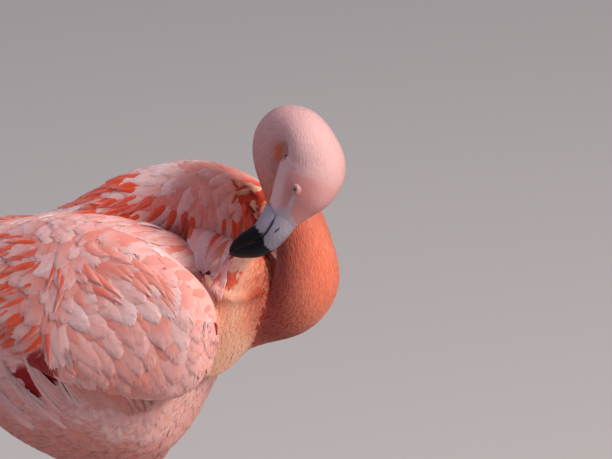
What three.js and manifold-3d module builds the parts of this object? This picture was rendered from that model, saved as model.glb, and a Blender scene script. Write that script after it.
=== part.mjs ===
// A Chilean flamingo, life size, standing still with its neck folded back over the shoulders to preen.
// Millimetres, +X is the way the breast points, +Y is the bird's left, +Z is up.
//
// Every piece is a loft: a row of oval sections, each placed by a centre, a direction across
// and a direction up. Neighbours that press together are parted by a thin gap.
import * as THREE from 'three';
import { mergeVertices } from 'three/addons/utils/BufferGeometryUtils.js';
import Module from 'manifold-3d';

const wasm = await Module();
wasm.setup();

// ---------------------------------------------------------------- driving dimensions

const GAP = 0.3; // clearance between neighbouring pieces

// body
const FLOOR = -60; // level of the floor while the bird is being built
const BELLY_HEIGHT = 408;
const BACK_HEIGHT = 692;
const BREAST_X = 132;
const RUMP_X = -245;
const TRUNK_HALF_WIDTH = 96;
const TAIL_TIP_X = -337;

// wings
const WING_CREST_HEIGHT = 731;
const WING_EDGE_HEIGHT = 550;
const WING_TIP_X = -272;
const WING_HALF_THICKNESS = 34;
const LEFT_WRIST_REACH = 28; // the left wrist is carried further forward
const LEFT_WING_LIFT = [-6, -14, -22, 10, 39, 46]; // and higher, from the wing tip to the wrist

// neck and head
const EYE_RADIUS = 7;

// bill
const BILL_HALF_WIDTH = 12.5;

// legs
const LEG_SPACING = 82; // between the middles of the two legs
const LEG_X = -27; // where the shins meet the feet
const THIGH_END_HEIGHT = 408;
const THIGH_END_X = -14;
const ANKLE_HEIGHT = 262;
const ANKLE_SETBACK = 14;
const SHIN_HALF_WIDTH = 5.2;
const FOOT_JOINT_HEIGHT = 13;
const MIDDLE_TOE = 84;
const SIDE_TOE = 74;
const TOE_SPREAD = 29; // degrees between neighbouring front toes
const TURN_OUT = 5; // degrees each foot points away from straight ahead
const WEB_THICKNESS = 2.4;
const CLAW_LENGTH = 9;

const LEFT = 1;
const RIGHT = -1;

// ---------------------------------------------------------------- materials

const plumage = (colour) => new THREE.MeshStandardMaterial({ color: colour, roughness: 0.85, metalness: 0 });
const finishes = {
  body: plumage(0xe9b9b2),
  wing: plumage(0xe8a79c),
  breast: plumage(0xecb493),
  neckLow: plumage(0xdc7459),
  neckHigh: plumage(0xe5a9a3),
  head: plumage(0xe8bab4),
  billPale: new THREE.MeshStandardMaterial({ color: 0xb9b2ba, roughness: 0.4, metalness: 0 }),
  billDark: new THREE.MeshStandardMaterial({ color: 0x15161c, roughness: 0.25, metalness: 0 }),
  eye: new THREE.MeshStandardMaterial({ color: 0xd8cf9a, roughness: 0.1, metalness: 0 }),
  shin: new THREE.MeshStandardMaterial({ color: 0xa98d97, roughness: 0.55, metalness: 0 }),
  joint: new THREE.MeshStandardMaterial({ color: 0xc85a80, roughness: 0.55, metalness: 0 }),
  claw: new THREE.MeshStandardMaterial({ color: 0x2b2426, roughness: 0.35, metalness: 0 }),
};

// ---------------------------------------------------------------- lofting

const vec = (x, y, z) => new THREE.Vector3(x, y, z);
const Y_AXIS = vec(0, 1, 0);
const smooth = (t) => t * t * (3 - 2 * t);
const blend = (a, b, t) => a + (b - a) * t;

/** A smooth curve through points, followed by its control points in equal shares of t. */
const line = (...points) => new THREE.CatmullRomCurve3(points.map((p) => vec(...p)), false, 'catmullrom', 0.5);

/** A smooth function of t from 0 to 1 through evenly spaced values. */
function profile(...values) {
  const curve = new THREE.SplineCurve(values.map((v, i) => new THREE.Vector2(i, v)));
  return (t) => curve.getPoint(t).y;
}

/** Superellipse coordinate: square 1 is an ellipse, smaller values are boxier. */
const squared = (c, square) => Math.sign(c) * Math.abs(c) ** square;

/**
 * Closes a row of sections into a solid. section(t) gives centre, across, up, width, rise and drop;
 * rings are spaced evenly between from and to, and each end is closed by a flat fan.
 */
function loft(section, { from = 0, to = 1, rings = 20, sides = 20, square = 1, grow = 0 } = {}) {
  const positions = [];
  const indices = [];
  for (let i = 0; i <= rings; i += 1) {
    const s = section(blend(from, to, i / rings));
    for (let j = 0; j < sides; j += 1) {
      const angle = (2 * Math.PI * j) / sides;
      const sideways = squared(Math.cos(angle), square) * (s.width + grow);
      const reach = Math.sin(angle) > 0 ? s.rise : s.drop;
      const upward = squared(Math.sin(angle), square) * (reach + grow);
      const point = s.centre.clone().addScaledVector(s.across, sideways).addScaledVector(s.up, upward);
      positions.push(point.x, point.y, point.z);
    }
  }
  for (const i of [0, rings]) {
    const { centre } = section(blend(from, to, i / rings));
    positions.push(centre.x, centre.y, centre.z);
  }
  const startPole = (rings + 1) * sides;
  const endPole = startPole + 1;
  for (let j = 0; j < sides; j += 1) {
    const k = (j + 1) % sides;
    indices.push(startPole, k, j);
    indices.push(endPole, rings * sides + j, rings * sides + k);
    for (let i = 0; i < rings; i += 1) {
      const a = i * sides + j;
      const b = i * sides + k;
      indices.push(a, b, b + sides, a, b + sides, a + sides);
    }
  }
  const geometry = new THREE.BufferGeometry();
  geometry.setAttribute('position', new THREE.Float32BufferAttribute(positions, 3));
  geometry.setIndex(indices);
  return toSolid(geometry);
}

/** Sections square to a path, with the direction across leaning from one vector to another. */
function alongPath(path, { width, rise = width, drop = rise, across = Y_AXIS, acrossEnd = across }) {
  return (t) => {
    const clamped = Math.min(Math.max(t, 0), 1);
    const tangent = path.getTangent(clamped);
    const side = across.clone().lerp(acrossEnd, smooth(clamped));
    side.addScaledVector(tangent, -side.dot(tangent)).normalize();
    const up = tangent.clone().cross(side).normalize();
    const centre = path.getPoint(clamped).addScaledVector(tangent, (t - clamped) * path.getLength());
    return { centre, across: side, up, width: width(clamped), rise: rise(clamped), drop: drop(clamped) };
  };
}

/** Sections spanning from a lower line to an upper line, like the frames of a boat. */
function betweenLines(upper, lower, { width }) {
  return (t) => {
    const top = upper.getPoint(t);
    const bottom = lower.getPoint(t);
    const half = top.distanceTo(bottom) / 2;
    const up = top.clone().sub(bottom).normalize();
    const tangent = upper.getTangent(t).add(lower.getTangent(t)).normalize();
    const side = up.clone().cross(tangent).normalize();
    const centre = top.add(bottom).multiplyScalar(0.5);
    return { centre, across: side, up, width: width(t), rise: half, drop: half };
  };
}

// ---------------------------------------------------------------- solids and meshes

/** Turns closed geometry into a solid that can be joined and cut. */
function toSolid(geometry) {
  const bare = new THREE.BufferGeometry();
  bare.setAttribute('position', geometry.getAttribute('position'));
  if (geometry.index) {
    bare.setIndex(geometry.index);
  }
  const merged = mergeVertices(bare, 1e-4);
  const kept = [];
  const index = merged.index.array;
  for (let i = 0; i < index.length; i += 3) {
    const [a, b, c] = [index[i], index[i + 1], index[i + 2]];
    if (a !== b && b !== c && c !== a) {
      kept.push(a, b, c);
    }
  }
  return new wasm.Manifold(new wasm.Mesh({
    numProp: 3,
    vertProperties: new Float32Array(merged.getAttribute('position').array),
    triVerts: new Uint32Array(kept),
  }));
}

const joined = (solids) => solids.reduce((whole, next) => whole.add(next));
const less = (solid, ...cutters) => cutters.reduce((rest, cutter) => rest.subtract(cutter), solid);

/** The largest piece of a solid, without crumbs that a cut may leave. */
function largest(solid) {
  const pieces = solid.decompose();
  return pieces.reduce((best, piece) => (piece.volume() > best.volume() ? piece : best));
}

function toMesh(name, solid, material) {
  const mesh = largest(solid).getMesh();
  const geometry = new THREE.BufferGeometry();
  geometry.setAttribute('position', new THREE.BufferAttribute(new Float32Array(mesh.vertProperties), 3));
  geometry.setIndex(new THREE.BufferAttribute(new Uint32Array(mesh.triVerts), 1));
  geometry.computeVertexNormals();
  const made = new THREE.Mesh(geometry, material);
  made.name = name;
  return made;
}

// ---------------------------------------------------------------- trunk and tail

function trunkSection() {
  const upper = line(
    [BREAST_X, 0, 622], [124, 0, 656], [92, 0, 676], [20, 0, BACK_HEIGHT],
    [-70, 0, 686], [-150, 0, 666], [-218, 0, 644], [RUMP_X, 0, 634],
  );
  const lower = line(
    [BREAST_X, 0, 600], [98, 0, 524], [70, 0, 450], [10, 0, BELLY_HEIGHT],
    [-70, 0, 409], [-150, 0, 447], [-218, 0, 564], [RUMP_X, 0, 620],
  );
  const share = profile(0.3, 0.76, 0.92, 1.0, 0.97, 0.78, 0.44, 0.2);
  return betweenLines(upper, lower, { width: (t) => share(t) * TRUNK_HALF_WIDTH });
}

const trunkShape = { rings: 20, sides: 22, square: 0.9 };
const trunk = loft(trunkSection(), trunkShape);
const trunkRoom = loft(trunkSection(), { ...trunkShape, grow: GAP });

function tailSection() {
  const path = line([-190, 0, 640], [-240, 0, 630], [-290, 0, 615], [TAIL_TIP_X, 0, 600]);
  const thickness = profile(20, 14, 7, 2.2);
  return alongPath(path, { width: profile(34, 42, 44, 26), rise: thickness });
}

const tail = less(loft(tailSection(), { rings: 6, sides: 12 }), trunkRoom);

// ---------------------------------------------------------------- wings

/** A folded wing lies over the side of the trunk, from the wrist beside the breast to the tips over the tail. */
function wingSection(side) {
  const raised = profile(...LEFT_WING_LIFT);
  const place = (x, y, z) => {
    if (side === RIGHT) {
      return [x, -y, z];
    }
    const forward = Math.min((x - WING_TIP_X) / (BREAST_X - WING_TIP_X), 1);
    return [x + LEFT_WRIST_REACH * forward, y, z + raised(forward)];
  };
  const crest = line(
    place(150, 76, 664), place(138, 66, 690), place(106, 62, 713), place(50, 57, WING_CREST_HEIGHT),
    place(-26, 50, WING_CREST_HEIGHT), place(-100, 40, 704), place(-180, 28, 672), place(WING_TIP_X, 20, 642),
  );
  const edge = line(
    place(154, 82, 630), place(148, 90, 590), place(114, 96, 560), place(56, 100, WING_EDGE_HEIGHT),
    place(-30, 100, 554), place(-110, 86, 578), place(-190, 56, 610), place(WING_TIP_X, 27, 633),
  );
  const share = profile(0.3, 0.72, 0.95, 1.0, 0.96, 0.76, 0.46, 0.12);
  return betweenLines(crest, edge, { width: (t) => share(t) * WING_HALF_THICKNESS });
}

const wingShape = { rings: 16, sides: 14, square: 0.95 };

// ---------------------------------------------------------------- head directions

// The head hangs upside down from the loop of the neck, its crown turned a little to the right.
const FORWARD = vec(-0.212, -0.373, -0.906).normalize();
const CROWNWARD = vec(0.935, -0.349, -0.075).normalize();
const RIGHTWARD = FORWARD.clone().cross(CROWNWARD).normalize();
const LEFTWARD = RIGHTWARD.clone().negate();
const BILL_ROOT = vec(233, -43.5, 772.6); // where the top of the bill meets the forehead

/** A point in the head's own directions, measured from the root of the bill. */
function onHead(forward, crownward, rightward = 0) {
  return BILL_ROOT.clone()
    .addScaledVector(FORWARD, forward)
    .addScaledVector(CROWNWARD, crownward)
    .addScaledVector(RIGHTWARD, rightward);
}
const headPoint = (forward, crownward) => onHead(forward, crownward).toArray();

// ---------------------------------------------------------------- neck and head

// One path runs from inside the breast, forward and up through the low bulge,
// behind the head, over the loop and down the head to the root of the bill.
const neckPath = line(
  [112, 14, 596], [156, 14, 622], [200, 6, 653], [223, 0, 688], [220, 4, 724], [206, 12, 757],
  [187, 20, 787], [178, 21, 811], [181, 17, 836], [198, 8, 857], [221, -4, 864], [237, -14, 855],
  headPoint(-66, -2), headPoint(-44, -5), headPoint(-22, -12), headPoint(0, -20),
);
const PATH_SPANS = 15;
const at = (point) => point / PATH_SPANS; // t at a numbered point of the path

const neckSection = alongPath(neckPath, {
  width: profile(36, 36, 36, 35, 32, 28, 25, 24, 23.5, 23.5, 25, 27, 29, 27, 20, 12.5),
  rise: profile(34, 34, 32, 34, 31, 28, 25, 24, 24, 23.5, 24, 28, 35, 36, 27, 19.5),
  drop: profile(36, 37, 42, 41, 34, 29, 25, 23, 21, 20, 21, 26, 38.5, 41, 33.5, 23.5),
  across: Y_AXIS,
  acrossEnd: LEFTWARD,
});

const CUT = GAP / neckPath.getLength();
const neckCuts = [0, at(3), at(5), at(7.6), at(11), 1];
function neckLength(index, rings, grow = 0) {
  const from = neckCuts[index] + (index > 0 ? CUT / 2 : 0);
  const last = index === neckCuts.length - 2;
  const clearance = last ? Math.sign(grow) * CUT : -CUT / 2;
  return loft(neckSection, { from, to: neckCuts[index + 1] + clearance, rings, sides: 16, grow });
}

// the breast swells up between the wings around the foot of the neck
function neckBaseSection() {
  const path = line([100, 0, 590], [132, -4, 620], [158, -8, 655], [172, -8, 692], [176, -6, 716]);
  return alongPath(path, {
    width: profile(62, 54, 44, 32, 10),
    rise: profile(60, 50, 42, 30, 10),
    drop: profile(50, 42, 34, 24, 8),
  });
}
const neckBaseShape = { rings: 8, sides: 16 };

// ---------------------------------------------------------------- bill

const BILL_TIP = [63.7, -66.8];
function billSection() {
  const culmen = line(
    headPoint(GAP, 0.5), headPoint(12, -4.5), headPoint(25, -10), headPoint(38, -17.5),
    headPoint(50, -30), headPoint(58.5, -47), headPoint(62.5, -60), headPoint(...BILL_TIP),
  );
  const gonys = line(
    headPoint(GAP, -43), headPoint(9, -44.5), headPoint(19, -48), headPoint(28, -55),
    headPoint(37, -62), headPoint(47, -67.5), headPoint(56, -69.5), headPoint(62, -68.6),
  );
  const share = profile(1, 0.97, 0.92, 0.86, 0.74, 0.56, 0.38, 0.12);
  return betweenLines(culmen, gonys, { width: (t) => share(t) * BILL_HALF_WIDTH });
}

/** Everything on the crown side of the mouth line, moved by an offset. */
function aboveMouth(offset) {
  const reach = 120;
  const outline = new THREE.Shape();
  outline.moveTo(-reach, -19 + offset);
  outline.lineTo(-6, -18 + offset);
  outline.splineThru([
    new THREE.Vector2(12, -20.5 + offset),
    new THREE.Vector2(26, -26 + offset),
    new THREE.Vector2(35, -34.5 + offset),
    new THREE.Vector2(43, -46 + offset),
    new THREE.Vector2(53, -58.5 + offset),
    new THREE.Vector2(60.5, -66.5 + offset),
  ]);
  outline.lineTo(reach, -reach);
  outline.lineTo(reach, reach);
  outline.lineTo(-reach, reach);
  const slab = new THREE.ExtrudeGeometry(outline, { depth: reach, bevelEnabled: false, curveSegments: 2 });
  slab.translate(0, 0, -reach / 2);
  const placed = new THREE.Matrix4().makeBasis(FORWARD, CROWNWARD, RIGHTWARD).setPosition(BILL_ROOT);
  return toSolid(slab.applyMatrix4(placed));
}

const headLength = neckCuts.length - 2;
const head = neckLength(headLength, 11);
const headRoom = neckLength(headLength, 11, GAP);

const billShape = { rings: 13, sides: 10, square: 0.9 };
const bill = less(loft(billSection(), billShape), headRoom);
const billRoom = loft(billSection(), { ...billShape, grow: GAP });
const billUpper = bill.intersect(aboveMouth(GAP / 2));
const billLower = bill.subtract(aboveMouth(-GAP / 2));

// ---------------------------------------------------------------- eyes

function eyeball(side, grow = 0) {
  const ball = new THREE.SphereGeometry(EYE_RADIUS + grow, 12, 7);
  const centre = onHead(-40, 2.6, -side * 19.5);
  return toSolid(ball.translate(...centre.toArray()));
}

// ---------------------------------------------------------------- legs and feet

const legY = (side) => (side * LEG_SPACING) / 2;
const ankleX = LEG_X - ANKLE_SETBACK;

/** One path runs down the whole leg, from inside the belly to under the heel. */
function legSection(side) {
  const y = legY(side);
  const above = (x, height) => [x, y, FLOOR + height];
  const path = line(
    [10, 0.9 * y, 485], [6, 0.95 * y, 430], [-3, y, 386], above(THIGH_END_X, THIGH_END_HEIGHT),
    above((THIGH_END_X + ankleX) / 2, 340), above(ankleX, ANKLE_HEIGHT + 17), above(ankleX - 2, ANKLE_HEIGHT),
    above(ankleX, ANKLE_HEIGHT - 19), above(ankleX + 5, 170), above(LEG_X - 4, 85),
    above(LEG_X, FOOT_JOINT_HEIGHT), above(LEG_X, -4),
  );
  return alongPath(path, {
    width: profile(28, 28, 18, 8.6, 6, 6.8, 9.6, 6, SHIN_HALF_WIDTH, SHIN_HALF_WIDTH, 6.2, 8),
    rise: profile(40, 42, 25, 9.8, 7, 8, 12.5, 7.6, 6.8, 6.6, 8, 9.5),
  });
}

// each length of the leg runs between two numbered points of its path
const LEG_SPANS = 11;
const LEG_CUT = GAP / 1000;
const legParts = {
  thigh: { first: 0, last: 3, rings: 8 },
  shank: { first: 3, last: 5, rings: 4 },
  ankle: { first: 5, last: 7, rings: 6 },
  shin: { first: 7, last: 10, rings: 5 },
  heel: { first: 10, last: 11, rings: 3 },
};
function legLength(side, name) {
  const { first, last, rings } = legParts[name];
  const from = first / LEG_SPANS + LEG_CUT;
  const to = last / LEG_SPANS - LEG_CUT;
  return loft(legSection(side), { from, to, rings, sides: 12 });
}

const toes = [
  { name: 'inner', angle: -TOE_SPREAD, length: SIDE_TOE - 5 },
  { name: 'middle', angle: 0, length: MIDDLE_TOE },
  { name: 'outer', angle: TOE_SPREAD, length: SIDE_TOE },
];
const HIND_TOE = { name: 'hind', angle: 162, length: 17 };

/** A point on the floor plan of a foot, by distance and bearing from under the shin. */
function onFoot(side, angle, distance, z) {
  const bearing = THREE.MathUtils.degToRad(angle + TURN_OUT) * side;
  return [LEG_X + Math.cos(bearing) * distance, legY(side) + Math.sin(bearing) * distance, FLOOR + z];
}

function toe(side, { angle, length }) {
  const arch = length / MIDDLE_TOE;
  const path = line(
    onFoot(side, angle, 0, 2.6 + 3 * arch), onFoot(side, angle, length * 0.35, 2.6 + 2.4 * arch),
    onFoot(side, angle, length * 0.7, 2.6 + arch), onFoot(side, angle, length, 2.6),
  );
  return loft(alongPath(path, { width: profile(6.2, 5, 4.4, 2.4), rise: profile(6.2, 5.4, 4.3, 2.6) }), {
    rings: 4,
    sides: 8,
  });
}

/** The skin between the front toes: a thin plate whose front edge curves in between the toe tips. */
function web(side) {
  const outline = new THREE.Shape();
  const corner = (angle, distance) => onFoot(side, angle, distance, 0);
  const [inner, middle, outer] = toes;
  outline.moveTo(...corner(inner.angle, 2).slice(0, 2));
  outline.lineTo(...corner(inner.angle, inner.length * 0.93).slice(0, 2));
  const between = (a, b) => corner((a.angle + b.angle) / 2, 0.7 * Math.min(a.length, b.length)).slice(0, 2);
  outline.quadraticCurveTo(...between(inner, middle), ...corner(0, middle.length * 0.9).slice(0, 2));
  outline.quadraticCurveTo(...between(middle, outer), ...corner(outer.angle, outer.length * 0.93).slice(0, 2));
  outline.lineTo(...corner(outer.angle, 2).slice(0, 2));
  const shape = { depth: WEB_THICKNESS, bevelEnabled: false, curveSegments: 4 };
  return toSolid(new THREE.ExtrudeGeometry(outline, shape).translate(0, 0, FLOOR));
}

const aboveFloor = toSolid(new THREE.BoxGeometry(600, 600, 200).translate(0, 0, FLOOR + 100));

function foot(side) {
  const spread = [...toes, HIND_TOE].map((one) => toe(side, one));
  return joined([legLength(side, 'heel'), web(side), ...spread]).intersect(aboveFloor);
}

function claw(side, { angle, length }) {
  const from = length + GAP;
  const path = line(
    onFoot(side, angle, from, 3), onFoot(side, angle, from + CLAW_LENGTH * 0.5, 3),
    onFoot(side, angle, from + CLAW_LENGTH, 1),
  );
  const section = alongPath(path, { width: profile(2.4, 1.8, 0.5), rise: profile(2.2, 1.7, 0.6) });
  return loft(section, { rings: 3, sides: 6 });
}

// ---------------------------------------------------------------- fitting the pieces together

const neckBase = less(loft(neckBaseSection(), neckBaseShape), trunkRoom, billRoom);
const neckBaseRoom = loft(neckBaseSection(), { ...neckBaseShape, grow: GAP });
const neckRoom = joined([neckLength(0, 8, GAP), neckLength(1, 6, GAP)]);

const group = new THREE.Group();
const add = (name, solid, material) => group.add(toMesh(name, solid, material));

add('trunk', trunk, finishes.body);
add('neck_base', neckBase, finishes.breast);
add('neck_1_bulge', less(neckLength(0, 8), trunkRoom, neckBaseRoom), finishes.neckLow);
add('neck_2_rise', less(neckLength(1, 6), neckBaseRoom), finishes.neckLow);
add('neck_3_upper', less(neckLength(2, 7), headRoom, billRoom), finishes.neckHigh);
add('neck_4_loop', less(neckLength(3, 9), headRoom), finishes.neckHigh);

for (const side of [LEFT, RIGHT]) {
  const label = side === LEFT ? 'left' : 'right';
  const wing = loft(wingSection(side), wingShape);
  add(`wing_${label}`, less(wing, trunkRoom, neckBaseRoom, neckRoom, billRoom), finishes.wing);
  add(`eye_${label}`, eyeball(side), finishes.eye);
  add(`thigh_${label}`, less(legLength(side, 'thigh'), trunkRoom), finishes.body);
  add(`shank_${label}`, legLength(side, 'shank'), finishes.shin);
  add(`ankle_${label}`, legLength(side, 'ankle'), finishes.joint);
  add(`shin_${label}`, legLength(side, 'shin'), finishes.shin);
  add(`foot_${label}`, foot(side), finishes.joint);
  for (const one of [...toes, HIND_TOE]) {
    add(`claw_${one.name}_${label}`, claw(side, one), finishes.claw);
  }
}

const wingsRoom = joined([LEFT, RIGHT].map((side) => loft(wingSection(side), { ...wingShape, grow: GAP })));
add('tail', less(tail, wingsRoom), finishes.body);
add('head', less(head, eyeball(LEFT, GAP), eyeball(RIGHT, GAP)), finishes.head);
add('bill_upper', billUpper, finishes.billPale);
add('bill_lower', billLower, finishes.billDark);

// the middle of the footprint box stands at the origin
const box = new THREE.Box3().setFromObject(group);
group.position.set(-(box.min.x + box.max.x) / 2, -(box.min.y + box.max.y) / 2, -box.min.z);

export default group;
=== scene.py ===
# %% [markdown]
# # A Chilean flamingo that preens
#
# A life-size flamingo stands on both feet, with its neck looped back over the shoulders and the
# hooked bill between its folded wings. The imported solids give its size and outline. This lesson
# dresses them: one smooth skin inside the plumage, thousands of feathers that lie along it,
# a two-coloured bill, glassy eyes and scaled legs.

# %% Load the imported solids
import math

import bmesh
import bpy
import numpy as np
from mathutils import Matrix, Vector
from mathutils.bvhtree import BVHTree


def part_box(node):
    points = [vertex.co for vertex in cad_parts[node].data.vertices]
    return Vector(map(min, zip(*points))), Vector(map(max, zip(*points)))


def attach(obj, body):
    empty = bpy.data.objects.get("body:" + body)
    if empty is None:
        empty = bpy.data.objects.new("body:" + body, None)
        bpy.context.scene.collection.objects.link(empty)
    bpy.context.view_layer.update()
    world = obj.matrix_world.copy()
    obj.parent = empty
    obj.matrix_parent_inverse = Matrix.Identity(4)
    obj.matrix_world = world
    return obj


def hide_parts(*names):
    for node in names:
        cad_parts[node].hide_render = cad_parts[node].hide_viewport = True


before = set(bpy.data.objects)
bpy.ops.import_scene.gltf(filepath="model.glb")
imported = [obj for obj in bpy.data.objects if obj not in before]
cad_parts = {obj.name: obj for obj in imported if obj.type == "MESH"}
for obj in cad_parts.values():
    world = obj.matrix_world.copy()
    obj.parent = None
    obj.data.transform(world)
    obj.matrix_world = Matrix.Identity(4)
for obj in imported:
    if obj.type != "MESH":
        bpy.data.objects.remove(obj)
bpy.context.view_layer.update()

# %% [markdown]
# ## The shapes of the body, as surfaces
#
# Feathers grow in rows over round forms, so each form is needed as a surface that can be walked
# over, not only as a mesh. The solids were lofted: oval sections strung along a path, or between
# an upper and a lower line. The same few values give the same surfaces here. A place on a surface
# is a pair: `t` runs along the form from 0 to 1, and `a` is the angle round its section.

# %% Curves and profiles
MM = 0.001


def through(values, t):
    """Where a smooth run through values is at t; the first and the last only steer its ends."""
    spans = len(values) - 3
    x = np.clip(np.asarray(t, float), 0, 1) * spans
    i = np.minimum(x.astype(int), spans - 1)
    w = (x - i)[..., None] if values.ndim > 1 else x - i
    p0, p1, p2, p3 = values[i], values[i + 1], values[i + 2], values[i + 3]
    v0, v1 = (p2 - p0) / 2, (p3 - p1) / 2
    return p1 + v0 * w + (3 * (p2 - p1) - 2 * v0 - v1) * w**2 + (2 * (p1 - p2) + v0 + v1) * w**3


def curve(*points):
    """A smooth curve through points, as a function of t. Past its ends it runs on straight."""
    p = np.array(points, float)
    steered = np.vstack([2 * p[0] - p[1], p, 2 * p[-1] - p[-2]])
    return lambda t: through(steered, t)


def profile(*values):
    """A smooth function of t through evenly spaced values."""
    steered = np.array([values[0], *values, values[-1]], float)
    return lambda t: through(steered, t)


def unit(v):
    """Vectors scaled to length one."""
    return v / np.maximum(np.linalg.norm(v, axis=-1, keepdims=True), 1e-12)


def dot(a, b):
    """Row by row product of two sets of vectors, kept as a column."""
    return (a * b).sum(-1, keepdims=True)


def smooth(x, low=0.0, high=1.0):
    """0 below low, 1 above high, and a soft step between."""
    x = np.clip((np.asarray(x, float) - low) / (high - low), 0, 1)
    return x * x * (3 - 2 * x)


def heading(path, t, step=1e-4):
    """The direction in which a curve runs at t."""
    return unit(path(np.clip(t + step, 0, 1)) - path(np.clip(t - step, 0, 1)))


# %% Sections strung along a path or between two lines
LEFTWARDS = np.array([0.0, 1.0, 0.0])


def along_path(path, width, rise=None, drop=None, across=LEFTWARDS, across_end=None):
    """Sections square to a path, as a function of t."""
    rise = rise or width
    drop = drop or rise
    across_end = across if across_end is None else across_end
    steps = path(np.linspace(0, 1, 400))
    length = np.linalg.norm(np.diff(steps, axis=0), axis=1).sum()

    def section(t):
        inside = np.clip(t, 0, 1)
        tangent = heading(path, inside)
        lean = smooth(inside)[..., None]
        side = across * (1 - lean) + across_end * lean
        side = unit(side - dot(side, tangent) * tangent)
        centre = path(inside) + tangent * ((t - inside) * length)[..., None]
        return centre, side, unit(np.cross(tangent, side)), width(inside), rise(inside), drop(inside)

    return section


def between_lines(upper, lower, width):
    """Sections that span from a lower line to an upper one, as a function of t."""

    def section(t):
        inside = np.clip(t, 0, 1)
        top, bottom = upper(inside), lower(inside)
        up = unit(top - bottom)
        tangent = unit(heading(upper, inside) + heading(lower, inside))
        side = unit(np.cross(up, tangent))
        half = np.linalg.norm(top - bottom, axis=-1) / 2
        run_on = (t - inside)[..., None] * np.linalg.norm(upper(np.array(1.0)) - upper(np.array(0.0)))
        return (top + bottom) / 2 + tangent * run_on, side, up, width(inside), half, half

    return section


# %% A surface is a set of sections and how square they are
COAT_DEPTH = 4.5  # millimetres of plumage over the skin, where a form doesn't say otherwise


def bare(t):
    """No plumage at all."""
    return np.zeros(np.shape(t))


class Form:
    """A lofted form of the body: a place on it is t along it and angle a round it."""

    def __init__(self, section, square=1.0, coat=None):
        self.section = section
        self.square = square
        self.coat = coat or (lambda t: np.full(np.shape(t), COAT_DEPTH))

    def at(self, t, a, grow=0.0):
        """Points of the surface in millimetres, moved outwards by grow."""
        centre, across, up, width, rise, drop = self.section(t)
        c, s = np.cos(a), np.sin(a)
        sideways = np.sign(c) * np.abs(c) ** self.square * (width + grow)
        upwards = np.sign(s) * np.abs(s) ** self.square * (np.where(s > 0, rise, drop) + grow)
        return centre + across * sideways[..., None] + up * upwards[..., None]

    def skin(self, t, a, height=0.0):
        """Points over the skin, which lies inside the surface by the depth of the coat."""
        return self.at(t, a, height - self.coat(t))

    def slopes(self, t, a):
        """How the skin moves with t and with a, and its outward direction."""
        by_t = (self.skin(t + 1e-3, a) - self.skin(t - 1e-3, a)) / 2e-3
        by_a = (self.skin(t, a + 1e-2) - self.skin(t, a - 1e-2)) / 2e-2
        return by_t, by_a, unit(np.cross(by_a, by_t))

    def steps(self, by_t, by_a, direction):
        """The change of t and a that follows a direction in space for one millimetre."""
        tt, ta, aa = dot(by_t, by_t)[..., 0], dot(by_t, by_a)[..., 0], dot(by_a, by_a)[..., 0]
        dt, da = dot(by_t, direction)[..., 0], dot(by_a, direction)[..., 0]
        whole = np.maximum(tt * aa - ta * ta, 1e-3)
        change = np.stack([(aa * dt - ta * da) / whole, (tt * da - ta * dt) / whole], -1)
        moved = by_t * change[..., :1] + by_a * change[..., 1:]
        return change / np.maximum(np.linalg.norm(moved, axis=-1, keepdims=True), 1e-6)

# %% [markdown]
# The forms themselves repeat the values of the solids, in the millimetres in which the bird was
# laid out. The coat is deepest over the body and the wings, and hardly there on the face.

# %% Trunk, tail and thighs
trunk = Form(between_lines(
    curve((132, 0, 622), (124, 0, 656), (92, 0, 676), (20, 0, 692),
          (-70, 0, 686), (-150, 0, 666), (-218, 0, 644), (-245, 0, 634)),
    curve((132, 0, 600), (98, 0, 524), (70, 0, 450), (10, 0, 408),
          (-70, 0, 409), (-150, 0, 447), (-218, 0, 564), (-245, 0, 620)),
    profile(*(96 * np.array([0.3, 0.76, 0.92, 1.0, 0.97, 0.78, 0.44, 0.2]))),
), 0.9)
tail = Form(along_path(
    curve((-190, 0, 640), (-240, 0, 630), (-290, 0, 615), (-337, 0, 600)),
    profile(34, 42, 44, 26), profile(20, 14, 7, 2.2),
), coat=profile(7, 4, 2, 1))

mantle = Form(along_path(
    curve((118, 0, 652), (66, 0, 676), (0, 0, 684), (-80, 0, 676), (-160, 0, 656), (-225, 0, 636)),
    profile(24, 40, 42, 40, 32, 18), profile(10, 20, 22, 18, 10, 3),
), coat=profile(3, 5, 5, 5, 4, 2))

LEG_SPACING = 82
LEG_X = -27  # under the shin
FLOOR = -60  # height of the floor in the layout
ANKLE_X = LEG_X - 14
ANKLE_Z = FLOOR + 262
THIGH_END = 3 / 11  # where the feathers of a leg end, in t


def leg_form(side):
    """The whole leg of one side, from inside the belly to under the heel."""
    y = side * LEG_SPACING / 2
    path = curve(
        (10, 0.9 * y, 485), (6, 0.95 * y, 430), (-3, y, 386), (-14, y, FLOOR + 408),
        ((-14 + ANKLE_X) / 2, y, FLOOR + 340), (ANKLE_X, y, ANKLE_Z + 17), (ANKLE_X - 2, y, ANKLE_Z),
        (ANKLE_X, y, ANKLE_Z - 19), (ANKLE_X + 5, y, FLOOR + 170), (LEG_X - 4, y, FLOOR + 85),
        (LEG_X, y, FLOOR + 13), (LEG_X, y, FLOOR - 4),
    )
    width = profile(28, 28, 18, 8.6, 6, 6.8, 9.6, 6, 5.2, 5.2, 6.2, 8)
    rise = profile(40, 42, 25, 9.8, 7, 8, 12.5, 7.6, 6.8, 6.6, 8, 9.5)
    return Form(along_path(path, width, rise), coat=lambda t: 5 * (1 - smooth(t, 0.17, 0.27)))


SIDES = {"left": 1, "right": -1}
legs = {name: leg_form(side) for name, side in SIDES.items()}

# %% Wings
WING_TIP_X = -272  # where the folded wings end
BREAST_X = 132  # in front of this the far wing is only shifted, not lifted more


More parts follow.
